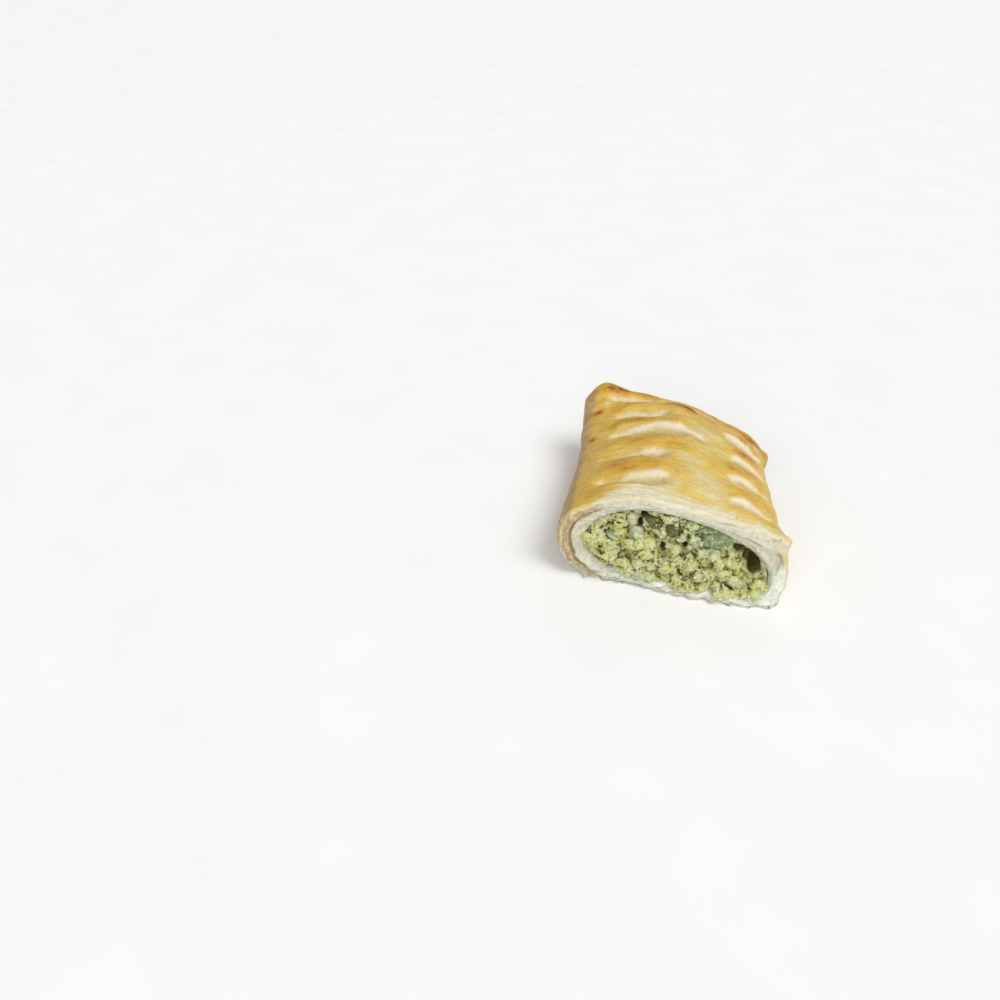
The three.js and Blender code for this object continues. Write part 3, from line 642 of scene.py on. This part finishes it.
# Raw dough at the cut, the pale front, a browned drop and the cracks.
def paleFront(grid, at, bake, crack):
    c = crust
    raw = np.where(at.onFace, smooth(0.0, 0.1, at.across + 0.03 * at.leaves), at.inside * 1.0)
    raw = np.maximum(raw, at.outside * at.low * (1 - smooth(0.02, 0.2, at.v)))
    reach = mix(-0.1, np.interp(at.x, c["paleAt"], c["paleReach"]), smooth(14, 24, at.z))
    ragged = waves("paleEdge", grid) + waves("paleLines", at.byRow)
    paler = 1 - smooth(-0.4, 0.36, at.v + ragged - reach)
    least, left, right, fromX, toX = c["straw"]
    straw = least + mix(left, right, smooth(fromX, toX, at.x)) * smooth(0.15, 0.8, at.v)
    straw = straw + waves("straw", at.byRow)
    bake = mix(bake, straw, np.where(at.inside | at.onFace, 1, at.outside * paler * c["paleShare"]))
    acrossX, high, wide, dropBake = c["drop"]
    toDrop = (np.hypot(at.x - acrossX, at.z - high) + waves("drop", grid)) / wide
    drop = at.onFace * (1 - smooth(0.5, 1.2, toDrop))
    raw = raw * (1 - 0.5 * drop)
    bake = mix(bake, dropBake, drop)
    left, right, row = c["frontCrack"]
    torn = bump(at.v - row - waves("frontCrack", grid), 0.022)
    torn = torn * between(left, left + 7, right - 4, right, at.x)
    crack = np.maximum(crack, 0.55 * torn * smooth(-0.2, 0.4, waves("frontCrackParts", grid)) * at.onTop)
    return raw, bake, crack


# The walls, which the wash missed and which are darkened with painted shade, and what the cut shows: its
# outer layer, the lines between layers with painted shade in the seam of the gap, and where the filling
# soaked it, paler there partly as painted light.
def layerMarks(grid, at):
    c = crust
    x, z, across, onFace = at.x, at.z, at.across, at.onFace
    # the walls: the left one across, the others low down, darker with painted shade as well as the missed
    # wash
    leftWall = 1 - smooth(*c["wallX"], x + waves("wallEdge", grid))
    wall = np.maximum(np.where(x < 0, leftWall, 1 - smooth(*c["rightWallZ"], z)), 1 - smooth(*c["footZ"], z))
    wall = np.where(at.onEnd, 1 - smooth(*c["endWallZ"], z), at.outside * wall)
    beyondGap = 1 - smooth(c["gapAt"] - 0.12, c["gapAt"] + 0.04, across + waves("outerEdge", grid))
    outer = onFace * (1 - smooth(*c["outerX"], x)) * beyondGap
    # painted shade: the seam in the gap between the left's layers is coloured as a dark line
    seam = onFace * (1 - smooth(*c["seamX"], x)) * bump(across - c["gapAt"] - waves("seam", grid), 0.07)
    flaked = onFace * smooth(0.2, 0.6, at.leaves) * smooth(-0.1, 0.3, waves("flakedPlaces", grid))
    flaked = flaked * mix(0.25, 0.7, smooth(4, 10, x) * smooth(14, 18, z))
    # the soaked cut, whose paler colour is partly painted light on the low, dimly lit face
    moist = (1 - smooth(*c["wetZ"], z)) * smooth(0.3, 0.9, across) * 0.9
    onRight = 0.9 * smooth(*c["wetX"], x) * (1 - smooth(*c["wetRightZ"], z))
    moist = np.maximum(moist, onRight) * (onFace | at.inside)
    return {"wall": wall, "outer_layer": np.clip(outer, 0, 1), "moist": moist,
            "layer_lines_and_seam_shade": np.clip(np.maximum(flaked, seam), 0, 1)}


def makePastry():
    grid, at = crustRows()
    bare, upBand, crack, lip = bareDough(grid, at)
    bake = browning(grid, at)
    grid = roughened(grid, at, crack, lip)
    raw, bake, crack = paleFront(grid, at, bake, crack)
    say("pastry of %d x %d points, browning %.2f to %.2f" % (*grid.shape[:2], bake.min(), bake.max()))
    return skinMesh("pastry", grid, {
        "bake": bake, "raw": raw, "bare": bare * 0.95, "up_band": upBand, "crack": np.clip(crack * 1.2, 0, 1),
        "glaze": at.onTop * smooth(0.25, 0.5, bake) * (1 - bare), **layerMarks(grid, at)})


filling = {
    "voxel": 0.36, "coarseVoxel": 0.5,      # mm, grain of the mash's own mesh, and before lumps are fused on
    "frontDepth": 21,                       # mm that are worked up from the cut, the rest stays a plain core
    "lumps": ((3.1, 0.9), (1.5, 0.55), (0.8, 0.36)),     # mm across and mm high, coarse to fine
    # hollows at the cut: across, height, half width, half height
    "hollows": (
        (28.6, 13.6, 3.8, 4.6), (26.2, 17.2, 3.6, 3.1), (22.2, 19.2, 3.3, 2.2), (-14.3, 27.6, 3.1, 2.7),
        (-15.6, 24.4, 2.3, 2.6), (-5.3, 15.2, 2.1, 3), (2.8, 17.2, 1.9, 2.1), (-16.4, 14.2, 2.6, 1.3),
        (-26.4, 22.8, 3, 1.1)),
    "hollowRim": (0.75, 1.2), "hollowDepth": (0.4, 4.0), "hollowShade": 0.78,
    "teal": (9, 23, 12, 5),                 # where the mash is greyer: across, height, reach across and up
    "heap": (1, 29, 13, 4.5, 2.0),          # where it is heaped up under the crust, and how far forward in mm
    "turn": 0.6,                            # the lumps' lattice is turned by this, so that no grid shows
    "crumbDepth": (5, 9), "lumpDepth": (3, 7),           # mm behind the cut, where crumbs and lumps end
    "shadeUnderCrust": (19, 27),                 # mm up, where the mash is painted darker: painted shade under the crust's rim
    # sizes of the materials' patterns in mm
    "grain": 0.6667, "clump": 2.381, "bendSize": 1.429, "bend": 1.6,
    "colours": {
        "kind": ((0.05, "#bcba6e"), (0.3, "#c6c787"), (0.5, "#cfd3a6"), (0.7, "#bdc8a6"), (0.95, "#a6b492")),
        "shade": ((0.2, "#463f16"), (0.38, "#938d55"), (0.56, "#d3d0b2"), (0.76, "#fbfaf5")),
        # painted shade: the dark inside of the hollows
        "hollow": "#4a3d12",
        "curds": ((0.2, "#aaa55e"), (0.42, "#c3c184"), (0.66, "#d3d4a8"), (0.85, "#e2e3cb")),
    },
}


# Crumbled greens and potato, baked moist. Clumps differ from pale mint to yellow olive, with painted light
# paling their tops and painted shade darkening the gaps between them, the hollows and the mash under the rim.
def mashFinish(tree, place):
    f = filling
    colours = f["colours"]
    tone, tint, hollow = (addNode(tree, "ShaderNodeAttribute", take="Fac", attribute_name=key)
                          for key in ("tone", "tint", "hollow"))
    grain = addNode(tree, "ShaderNodeTexNoise", {
        "Vector": place, "Scale": 1 / (f["grain"] * mm), "Detail": 4.0, "Roughness": 0.7})
    bend = addNode(tree, "ShaderNodeTexNoise", {
        "Vector": place, "Scale": 1 / (f["bendSize"] * mm), "Detail": 2.0}, take="Color")
    bend = addNode(tree, "ShaderNodeVectorMath", {0: bend, "Scale": f["bend"] * mm}, operation="SCALE")
    bent = addNode(tree, "ShaderNodeVectorMath", {0: place, 1: bend}, operation="ADD")
    clumps = addNode(tree, "ShaderNodeTexVoronoi", {
        "Vector": bent, "Scale": 1 / (f["clump"] * mm)}, take="Color")
    clumps = addNode(tree, "ShaderNodeSeparateColor", {"Color": clumps}, take="Red")
    clumps = addNode(tree, "ShaderNodeMath", {0: clumps, 1: 0.5, 2: tint}, operation="MULTIPLY_ADD")
    kind = addNode(tree, "ShaderNodeValToRGB", {"Fac": clumps}, stops=colours["kind"])
    mixed = addNode(tree, "ShaderNodeMath", {0: grain, 1: 0.4, 2: tone}, operation="MULTIPLY_ADD")
    shade = addNode(tree, "ShaderNodeValToRGB", {"Fac": mixed}, stops=colours["shade"])
    colour = addNode(tree, "ShaderNodeMix", {0: 1.0, 6: kind, 7: shade}, take=2, data_type="RGBA",
                     blend_type="MULTIPLY")
    # painted shade in the hollows, the deeper the darker
    colour = addNode(tree, "ShaderNodeMix", {0: hollow, 6: colour, 7: linear(colours["hollow"])}, take=2,
                     data_type="RGBA")
    normal = addNode(tree, "ShaderNodeBump", {
        "Height": grain, "Strength": 0.3, "Distance": 0.5 * mm}, take="Normal")
    return {"Base Color": colour, "Normal": normal, "Roughness": 0.6, "IOR": 1.36, "Specular IOR Level": 0.3,
            "Subsurface Weight": 0.25, "Subsurface Radius": (2 * mm, 2.5 * mm, mm), "Subsurface Scale": 0.4}


# Loose curds of potato and greens, paler than the mash. Each takes its own tone.
def curdFinish(tree, place):
    tone = addNode(tree, "ShaderNodeAttribute", take="Fac", attribute_name="tone")
    grain = addNode(tree, "ShaderNodeTexNoise", {
        "Vector": place, "Scale": 1 / (filling["grain"] * mm), "Detail": 3.0})
    mixed = addNode(tree, "ShaderNodeMath", {0: grain, 1: 0.3, 2: tone}, operation="MULTIPLY_ADD")
    colour = addNode(tree, "ShaderNodeValToRGB", {"Fac": mixed}, stops=filling["colours"]["curds"])
    return {"Base Color": colour, "Roughness": 0.6, "IOR": 1.36, "Specular IOR Level": 0.25,
            "Subsurface Weight": 0.2, "Subsurface Radius": (2 * mm, 2 * mm, mm), "Subsurface Scale": 0.35}


def meshPoints(mesh):
    flat = np.empty(len(mesh.vertices) * 3, np.float32)
    mesh.vertices.foreach_get("co", flat)
    return flat.reshape(-1, 3).astype(float)


def movePoints(mesh, points):
    mesh.vertices.foreach_set("co", points.reshape(-1).astype(np.float32))
    mesh.update()


# Takes the evaluated mesh, so that no modifier is left on the piece.
def settle(piece):
    mesh = bpy.data.meshes.new_from_object(piece.evaluated_get(bpy.context.evaluated_depsgraph_get()))
    piece.modifiers.clear()
    piece.data = mesh
    mesh.name = piece.name
    return mesh


# A copy of a solid's form with its doubles merged: all of it, or what is before or behind a plane across it.
def solidForm(node, name, planeY=None, keepFront=True):
    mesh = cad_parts[node].data.copy()
    mesh.materials.clear()
    edit = bmesh.new()
    edit.from_mesh(mesh)
    bmesh.ops.remove_doubles(edit, verts=edit.verts, dist=1e-6)
    if planeY is not None:
        cut = bmesh.ops.bisect_plane(edit, geom=list(edit.verts) + list(edit.edges) + list(edit.faces),
                                     plane_co=(0, planeY, 0), plane_no=(0, 1, 0), clear_outer=keepFront,
                                     clear_inner=not keepFront)
        bmesh.ops.holes_fill(edit, edges=[e for e in cut["geom_cut"] if isinstance(e, bmesh.types.BMEdge)])
    edit.to_mesh(mesh)
    edit.free()
    return linkPiece(name, mesh)


def remeshed(piece, size):
    remesh = piece.modifiers.new("remesh", "REMESH")
    remesh.mode = "VOXEL"
    remesh.voxel_size = size * mm
    mesh = settle(piece)
    points = meshPoints(mesh)
    normals = np.empty(len(points) * 3, np.float32)
    mesh.vertices.foreach_get("normal", normals)
    return mesh, points, normals.reshape(-1, 3).astype(float)


# How far each point of a mesh sinks below its neighbours, in mm, smoothed a little.
def sunken(mesh, points, normals, rounds):
    ends = np.empty(len(mesh.edges) * 2, np.int32)
    mesh.edges.foreach_get("vertices", ends)
    a, b = ends.reshape(-1, 2).T
    number = np.bincount(a, minlength=len(points)) + np.bincount(b, minlength=len(points))

    def around(values):
        total = np.bincount(a, values[b], len(points)) + np.bincount(b, values[a], len(points))
        return total / np.maximum(number, 1)

    soft = points
    for _ in range(rounds):
        soft = np.stack([around(soft[:, k]) for k in range(3)], -1)
    depth = ((soft - points) * normals).sum(1) / mm
    return mix(depth, around(depth), 0.5)


# Where a mesh's points are, in the parcel's mm, how far behind the cut, and how much of a hollow each is in.
def atCut(points):
    place = points / mm - frameShift
    depth = place[:, 1] - cutPlaneY(place[:, 0], place[:, 2])
    hollow = np.zeros(len(points))
    for x, z, wide, high in filling["hollows"]:
        ring = np.hypot((place[:, 0] - x) / wide, (place[:, 2] - z) / high)
        ring = ring + 0.3 * noise(place, 2.2, 45) + 0.2 * noise(place, 0.9, 46)
        inside = 1 - smooth(*filling["hollowRim"], ring)
        hollow = np.maximum(hollow, inside * smooth(*filling["hollowDepth"], depth))
    return place, depth, hollow


# How near a place on the cut its points are, given across and by height.
def nearPlace(place, x, high, wide, tall):
    return bump(place[:, 0] - x, wide) * bump(place[:, 2] - high, tall)


# The solid's front is heaped up a little, and chunks and curds are strewn over it and fused with it.
def fusedCrumbs(piece, tree):
    f = filling
    mesh, points, normals = remeshed(piece, f["coarseVoxel"])
    place, depth, hollow = atCut(points)
    *where, forward = f["heap"]
    heaped = nearPlace(place, *where) * (1 - smooth(0.0, 0.4, hollow))
    heaped *= smooth(0.9, 1.8, depth) * (1 - smooth(4, 7, depth)) * (normals[:, 1] < -0.3)
    points[:, 1] -= forward * heaped * mm
    movePoints(mesh, points)
    shown = (1 - smooth(*f["crumbDepth"], depth)) * (1 - smooth(0.1, 0.5, hollow)) * (normals[:, 1] < 0.1)
    shown *= 1 + 1.5 * smooth(22, 27, place[:, 2])
    setAttribute(mesh, "shown", shown)
    edit = bmesh.new()
    edit.from_mesh(mesh)
    for kind in ("chunks", "curds"):
        heap = strewCrumbs("heap", kind, piece, tree)
        edit.from_mesh(heap.data)
        bpy.data.objects.remove(heap)
    edit.to_mesh(mesh)
    edit.free()


def makeMash(planeY, tree):
    f = filling
    piece = solidForm("filling", "mash", planeY)
    fusedCrumbs(piece, tree)
    mesh, points, normals = remeshed(piece, f["voxel"])
    place, depth, hollow = atCut(points)
    shown = 1 - smooth(*f["lumpDepth"], depth)
    c, s = math.cos(f["turn"]), math.sin(f["turn"])
    turned = place @ np.array([[c, -s, 0], [s, c, 0], [0, 0, 1]])
    turned = turned @ np.array([[1, 0, 0], [0, c, -s], [0, s, c]])
    rise = np.zeros(len(points))
    for number, (size, height) in enumerate(f["lumps"]):
        rise += height * (np.abs(noise(turned, size, 31 + number)) ** 0.8 - 0.36)    # round tops, sharp gaps
    points += normals * (rise * shown * (1 - 0.3 * hollow))[:, None] * mm
    points[:, 2] = np.maximum(points[:, 2], 0)
    movePoints(mesh, points)
    gaps = sunken(mesh, points, normals, 6)
    valleys = sunken(mesh, points, normals, 40)
    # painted shade and light: darker where the mash sinks into gaps and valleys and under the crust's rim,
    # paler where it stands out
    tone = 0.47 - 0.75 * np.clip(gaps, -0.3, 0.4) - 0.3 * np.clip(valleys, -0.6, 0.5)
    tone = tone + 0.1 * noise(turned, 5, 42) - 0.14 * smooth(*f["shadeUnderCrust"], place[:, 2])
    setAttribute(mesh, "tone", np.clip(tone, 0, 1))
    setAttribute(mesh, "tint", 0.16 + 0.22 * noise(turned, 6, 43) + 0.4 * nearPlace(place, *f["teal"]))
    setAttribute(mesh, "hollow", hollow * f["hollowShade"])
    setAttribute(mesh, "shown", shown * (1 - smooth(0.05, 0.5, hollow)) * (normals[:, 1] < 0.2))
    mesh.shade_smooth()
    say("mash of %d faces, gaps %.2f to %.2f mm" % (len(mesh.polygons), gaps.min(), gaps.max()))
    return piece


crumbs = {
    # how many, smallest and largest radius in mm, roughness as a share of the radius, clumping, sides, seed
    "fine": (1500, 0.24, 0.6, 1.0, 0.6, 2, 11),
    "curds": (480, 0.5, 1.1, 1.2, 0.7, 2, 12),
    "chunks": (190, 0.9, 1.9, 1.7, 0.3, 3, 13),
    "clumpsPerMetre": 260.0, "wavesPerMetre": 1100.0,    # clumps 4 mm across, and roughness 0.9 mm across
    "waveHeight": 2.4,
    "tones": (0.12, 0.62),
    "squash": ((0.7, 0.7, 0.55), (1.3, 1.2, 1.0)),       # least and most, along each crumb's own axes
}


# Strews crumbs over a surface: each lands at a random place, in clumps, and is roughened in its own way.
def crumbTree():
    tree = bpy.data.node_groups.new("strewn crumbs", "GeometryNodeTree")
    for label, kind in (("Geometry", "Geometry"), ("Crumbs per m2", "Float"), ("Smallest", "Float"),
                        ("Largest", "Float"), ("Roughness", "Float"), ("Clumping", "Float"), ("Sides", "Int"),
                        ("Seed", "Int"), ("Material", "Material")):
        tree.interface.new_socket(label, in_out="INPUT", socket_type="NodeSocket" + kind)
    tree.interface.new_socket("Geometry", in_out="OUTPUT", socket_type="NodeSocketGeometry")
    given = tree.nodes.new("NodeGroupInput").outputs

    place = addNode(tree, "GeometryNodeInputPosition")
    clumps = addNode(tree, "ShaderNodeTexNoise", {
        "Vector": place, "Scale": crumbs["clumpsPerMetre"], "Detail": 1.0})
    clumps = addNode(tree, "ShaderNodeMapRange", {"Value": clumps, "From Min": 0.42, "From Max": 0.58})
    loose = addNode(tree, "ShaderNodeMath", {0: 1.0, 1: given["Clumping"]}, operation="SUBTRACT")
    clumps = addNode(tree, "ShaderNodeMath", {0: clumps, 1: given["Clumping"], 2: loose},
                     operation="MULTIPLY_ADD")
    shown = addNode(tree, "GeometryNodeInputNamedAttribute", {"Name": "shown"}, data_type="FLOAT")
    density = addNode(tree, "ShaderNodeMath", {0: given["Crumbs per m2"], 1: shown}, operation="MULTIPLY")
    density = addNode(tree, "ShaderNodeMath", {0: density, 1: clumps}, operation="MULTIPLY")
    spots = addNode(tree, "GeometryNodeDistributePointsOnFaces",
                    {"Mesh": given["Geometry"], "Density": density, "Seed": given["Seed"]}, take="Points")
    leastTone, mostTone = crumbs["tones"]
    for key, least, most, seed in (("size", given["Smallest"], given["Largest"], 3),
                                   ("tone", leastTone, mostTone, 6)):
        value = addNode(tree, "FunctionNodeRandomValue", {2: least, 3: most, "Seed": seed}, take=1,
                        data_type="FLOAT")
        spots = addNode(tree, "GeometryNodeStoreNamedAttribute",
                        {"Geometry": spots, "Name": key, "Value": value}, data_type="FLOAT", domain="POINT")
    ball = addNode(tree, "GeometryNodeMeshIcoSphere", {"Radius": 1.0, "Subdivisions": given["Sides"]},
                   take="Mesh")
    flattest, fullest = crumbs["squash"]
    squash = addNode(tree, "FunctionNodeRandomValue", {0: flattest, 1: fullest, "Seed": 4},
                     data_type="FLOAT_VECTOR")
    ownSize = addNode(tree, "GeometryNodeInputNamedAttribute", {"Name": "size"}, data_type="FLOAT")
    scale = addNode(tree, "ShaderNodeVectorMath", {0: squash, "Scale": ownSize}, operation="SCALE")
    turn = addNode(tree, "FunctionNodeRandomValue", {0: (0, 0, 0), 1: (6.28, 6.28, 6.28), "Seed": 5},
                   data_type="FLOAT_VECTOR")
    placed = addNode(tree, "GeometryNodeInstanceOnPoints",
                     {"Points": spots, "Instance": ball, "Rotation": turn, "Scale": scale})
    real = addNode(tree, "GeometryNodeRealizeInstances", {"Geometry": placed})

    waves = addNode(tree, "ShaderNodeTexNoise", {
        "Vector": place, "Scale": crumbs["wavesPerMetre"], "Detail": 3.0, "Roughness": 0.7})
    waves = addNode(tree, "ShaderNodeMath", {0: waves, 1: 0.5}, operation="SUBTRACT")
    height = given["Roughness"]
    for factor in (ownSize, crumbs["waveHeight"], waves):
        height = addNode(tree, "ShaderNodeMath", {0: height, 1: factor}, operation="MULTIPLY")
    outward = addNode(tree, "GeometryNodeInputNormal")
    offset = addNode(tree, "ShaderNodeVectorMath", {0: outward, "Scale": height}, operation="SCALE")
    rough = addNode(tree, "GeometryNodeSetPosition", {"Geometry": real, "Offset": offset})
    soft = addNode(tree, "GeometryNodeSetShadeSmooth", {"Geometry": rough})
    done = addNode(tree, "GeometryNodeSetMaterial", {"Geometry": soft, "Material": given["Material"]})
    addNode(tree, "NodeGroupOutput", {"Geometry": done})
    return tree


def strewCrumbs(name, kind, surface, tree, material=None):
    count, smallest, largest, roughness, clumping, sides, seed = crumbs[kind]
    mesh = surface.data
    shown = np.empty(len(mesh.vertices), np.float32)
    mesh.attributes["shown"].data.foreach_get("value", shown)
    area = sum(face.area * shown[face.vertices[0]] for face in mesh.polygons)
    piece = linkPiece(name, mesh.copy())
    modifier = piece.modifiers.new("crumbs", "NODES")
    modifier.node_group = tree
    values = {"Crumbs per m2": count / area, "Smallest": smallest * mm, "Largest": largest * mm,
              "Roughness": roughness, "Clumping": clumping, "Sides": sides, "Seed": seed,
              "Material": material}
    for item in tree.interface.items_tree:
        if item.in_out == "INPUT" and item.name in values:
            modifier[item.identifier] = values[item.name]
    mesh = settle(piece)
    mesh.materials.clear()
    if material:
        mesh.materials.append(material)
    say("%s of %d %s in %d faces" % (name, count, kind, len(mesh.polygons)))
    return piece


vegetables = {
    "voxel": 0.3,                           # mm, grain of each piece's mesh
    "rounding": 2,                          # passes that soften the cut edges
    "lumps": ((3.0, 0.8), (1.2, 0.4), (0.6, 0.16)),      # mm across and mm high
    "swell": 1.04,                          # the rounding shrinks a piece, and this gives its size back
    "fibre": 1.111, "fibreStretch": (0.3, 1, 1), "cloud": 2.632,     # mm, sizes of the patterns
    # each slot's pieces, what they are, deep and pale colour, and clearness
    "kinds": {
        "vegetable_teal": ((1, 2), "leek, boiled soft", "#6e7a52", "#9ca67e", 0.4),
        "vegetable_olive": ((3, 4), "green bean, boiled soft", "#3e421a", "#6e7340", 0.3),
        "vegetable_pale": ((5, 6, 7, 8), "potato, boiled soft", "#9fa57c", "#c6cba8", 0.35),
    },
}


# Cooked vegetable, wet and a little see-through, with faint fibres along it.
def vegetableFinish(tree, place, deep, pale, clearness):
    v = vegetables
    lengthwise = addNode(tree, "ShaderNodeMapping", {"Vector": place, "Scale": v["fibreStretch"]})
    fibres, clouds = (
        addNode(tree, "ShaderNodeTexNoise", {"Vector": source, "Scale": 1 / (v[key] * mm), "Detail": 3.0})
        for key, source in (("fibre", lengthwise), ("cloud", place)))
    mixed = addNode(tree, "ShaderNodeMath", {0: fibres, 1: 0.6, 2: clouds}, operation="MULTIPLY_ADD")
    colour = addNode(tree, "ShaderNodeValToRGB", {"Fac": mixed}, stops=((0.62, deep), (0.95, pale)))
    normal = addNode(tree, "ShaderNodeBump", {
        "Height": mixed, "Strength": 0.35, "Distance": 0.5 * mm}, take="Normal")
    return {"Base Color": colour, "Normal": normal, "Roughness": 0.3, "IOR": 1.38,
            "Subsurface Weight": clearness, "Subsurface Radius": (2 * mm, 3 * mm, 1.8 * mm),
            "Subsurface Scale": 0.7}


# A vegetable piece keeps its solid's form, with its edges softened by cooking.
def makeVegetable(node, seed):
    v = vegetables
    piece = solidForm(node, node + "_soft")
    _, _, normals = remeshed(piece, v["voxel"])
    softening = piece.modifiers.new("softening", "SMOOTH")
    softening.iterations = v["rounding"]
    mesh = settle(piece)
    points = meshPoints(mesh)
    middle = points.mean(0)
    rise = sum(height * noise(points / mm, size, seed + int(10 * size)) for size, height in v["lumps"])
    points = middle + (points - middle) * v["swell"] + normals * rise[:, None] * mm
    movePoints(mesh, points)
    edges = 1.2 * smooth(-0.1, 0.5, noise(points / mm, 3, seed)) * (normals[:, 1] < -0.1)
    setAttribute(mesh, "shown", edges)
    mesh.shade_smooth()
    return piece


def handOver(piece, node, material=None):
    if material:
        piece.data.materials.append(material)
    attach(piece, "root")
    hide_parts(node)


handOver(makePastry(), "crust", makeMaterial("puff pastry, egg-washed and baked", pastryFinish))
say("pastry done")

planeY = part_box("filling")[0][1] + filling["frontDepth"] * mm
strewing = crumbTree()
moist = makeMaterial("vegetable mash, baked moist", mashFinish)
mash = makeMash(planeY, strewing)
handOver(mash, "filling", moist)
handOver(solidForm("filling", "mash_core", planeY, keepFront=False), "filling", moist)
say("filling done")

field = mash.copy()                         # what the loose crumbs lie on: the mash and the pieces in it
field.data = mash.data.copy()
bpy.context.scene.collection.objects.link(field)
gather = bmesh.new()
gather.from_mesh(field.data)
for slot, (numbers, name, *look) in vegetables["kinds"].items():
    material = makeMaterial(name, vegetableFinish, *look)
    for number in numbers:
        node = "vegetable_piece_%d" % number
        piece = makeVegetable(node, 40 + number)
        gather.from_mesh(piece.data)
        handOver(piece, node, material)
gather.to_mesh(field.data)
gather.free()
curds = makeMaterial("crumbled curds of potato and greens, moist", curdFinish)
handOver(strewCrumbs("crumbs_fine", "fine", field, strewing, curds), "filling")
bpy.data.objects.remove(field)
say("vegetable pieces and crumbs done")

stage = {
    "cameraPlace": (-14.6, -297.4, 224.4),  # mm in the parcel's frame
    "cameraTarget": (-76.8, -4.0, 0.0),
    "lens": 30.6, "sensor": 36,             # mm
    "skyLight": 0.36,
    # each light's direction, how wide it looks in degrees, and strength
    "lights": {"key": ((0.5, -0.15, 0.85), 35, 1.65), "front": ((-0.1, -0.9, 0.5), 60, 1.3),
               "gloss": ((0.12, 0.8, 0.6), 14, 0.12)},
    "floorHalf": 3,                         # metres
    "cloud": 40, "board": ((0.3, "#f5f5f4"), (0.7, "#f8f8f7")),      # mm, and the board's colours
}


# Matt white studio board, with faint cloudy tones so that it isn't a dead flat white.
def boardFinish(tree, place):
    paper = addNode(tree, "ShaderNodeTexNoise", {
        "Vector": place, "Scale": 1 / (stage["cloud"] * mm), "Detail": 2.0})
    colour = addNode(tree, "ShaderNodeValToRGB", {"Fac": paper}, stops=stage["board"])
    return {"Base Color": colour, "Roughness": 0.8}


def aimAt(thing, place, target):
    thing.location = place
    thing.rotation_euler = (Vector(target) - Vector(place)).to_track_quat("-Z", "Y").to_euler()
    bpy.context.scene.collection.objects.link(thing)


def makeStage():
    scene = bpy.context.scene
    scene.view_settings.view_transform = "Standard"
    data = bpy.data.cameras.new("camera")
    data.sensor_width = stage["sensor"]
    data.lens = stage["lens"]
    data.clip_start = 0.01
    camera = bpy.data.objects.new("camera", data)
    aimAt(camera, toFrame(np.array(stage["cameraPlace"])), toFrame(np.array(stage["cameraTarget"])))
    scene.camera = camera
    for name, (place, width, power) in stage["lights"].items():
        light = bpy.data.lights.new(name, "SUN")
        light.angle = math.radians(width)
        light.energy = power
        aimAt(bpy.data.objects.new(name, light), place, (0, 0, 0))
    world = bpy.data.worlds.new("soft studio")
    scene.world = world
    world.use_nodes = True
    world.node_tree.nodes["Background"].inputs["Color"].default_value = (1, 1, 1, 1)
    world.node_tree.nodes["Background"].inputs["Strength"].default_value = stage["skyLight"]

    half = stage["floorHalf"]
    mesh = bpy.data.meshes.new("floor")
    corners = [(-half, -half, 0), (half, -half, 0), (half, half, 0), (-half, half, 0)]
    mesh.from_pydata(corners, [], [(0, 1, 2, 3)])
    mesh.materials.append(makeMaterial("matt white studio board", boardFinish))
    linkPiece("floor", mesh)


makeStage()
say("stage done")
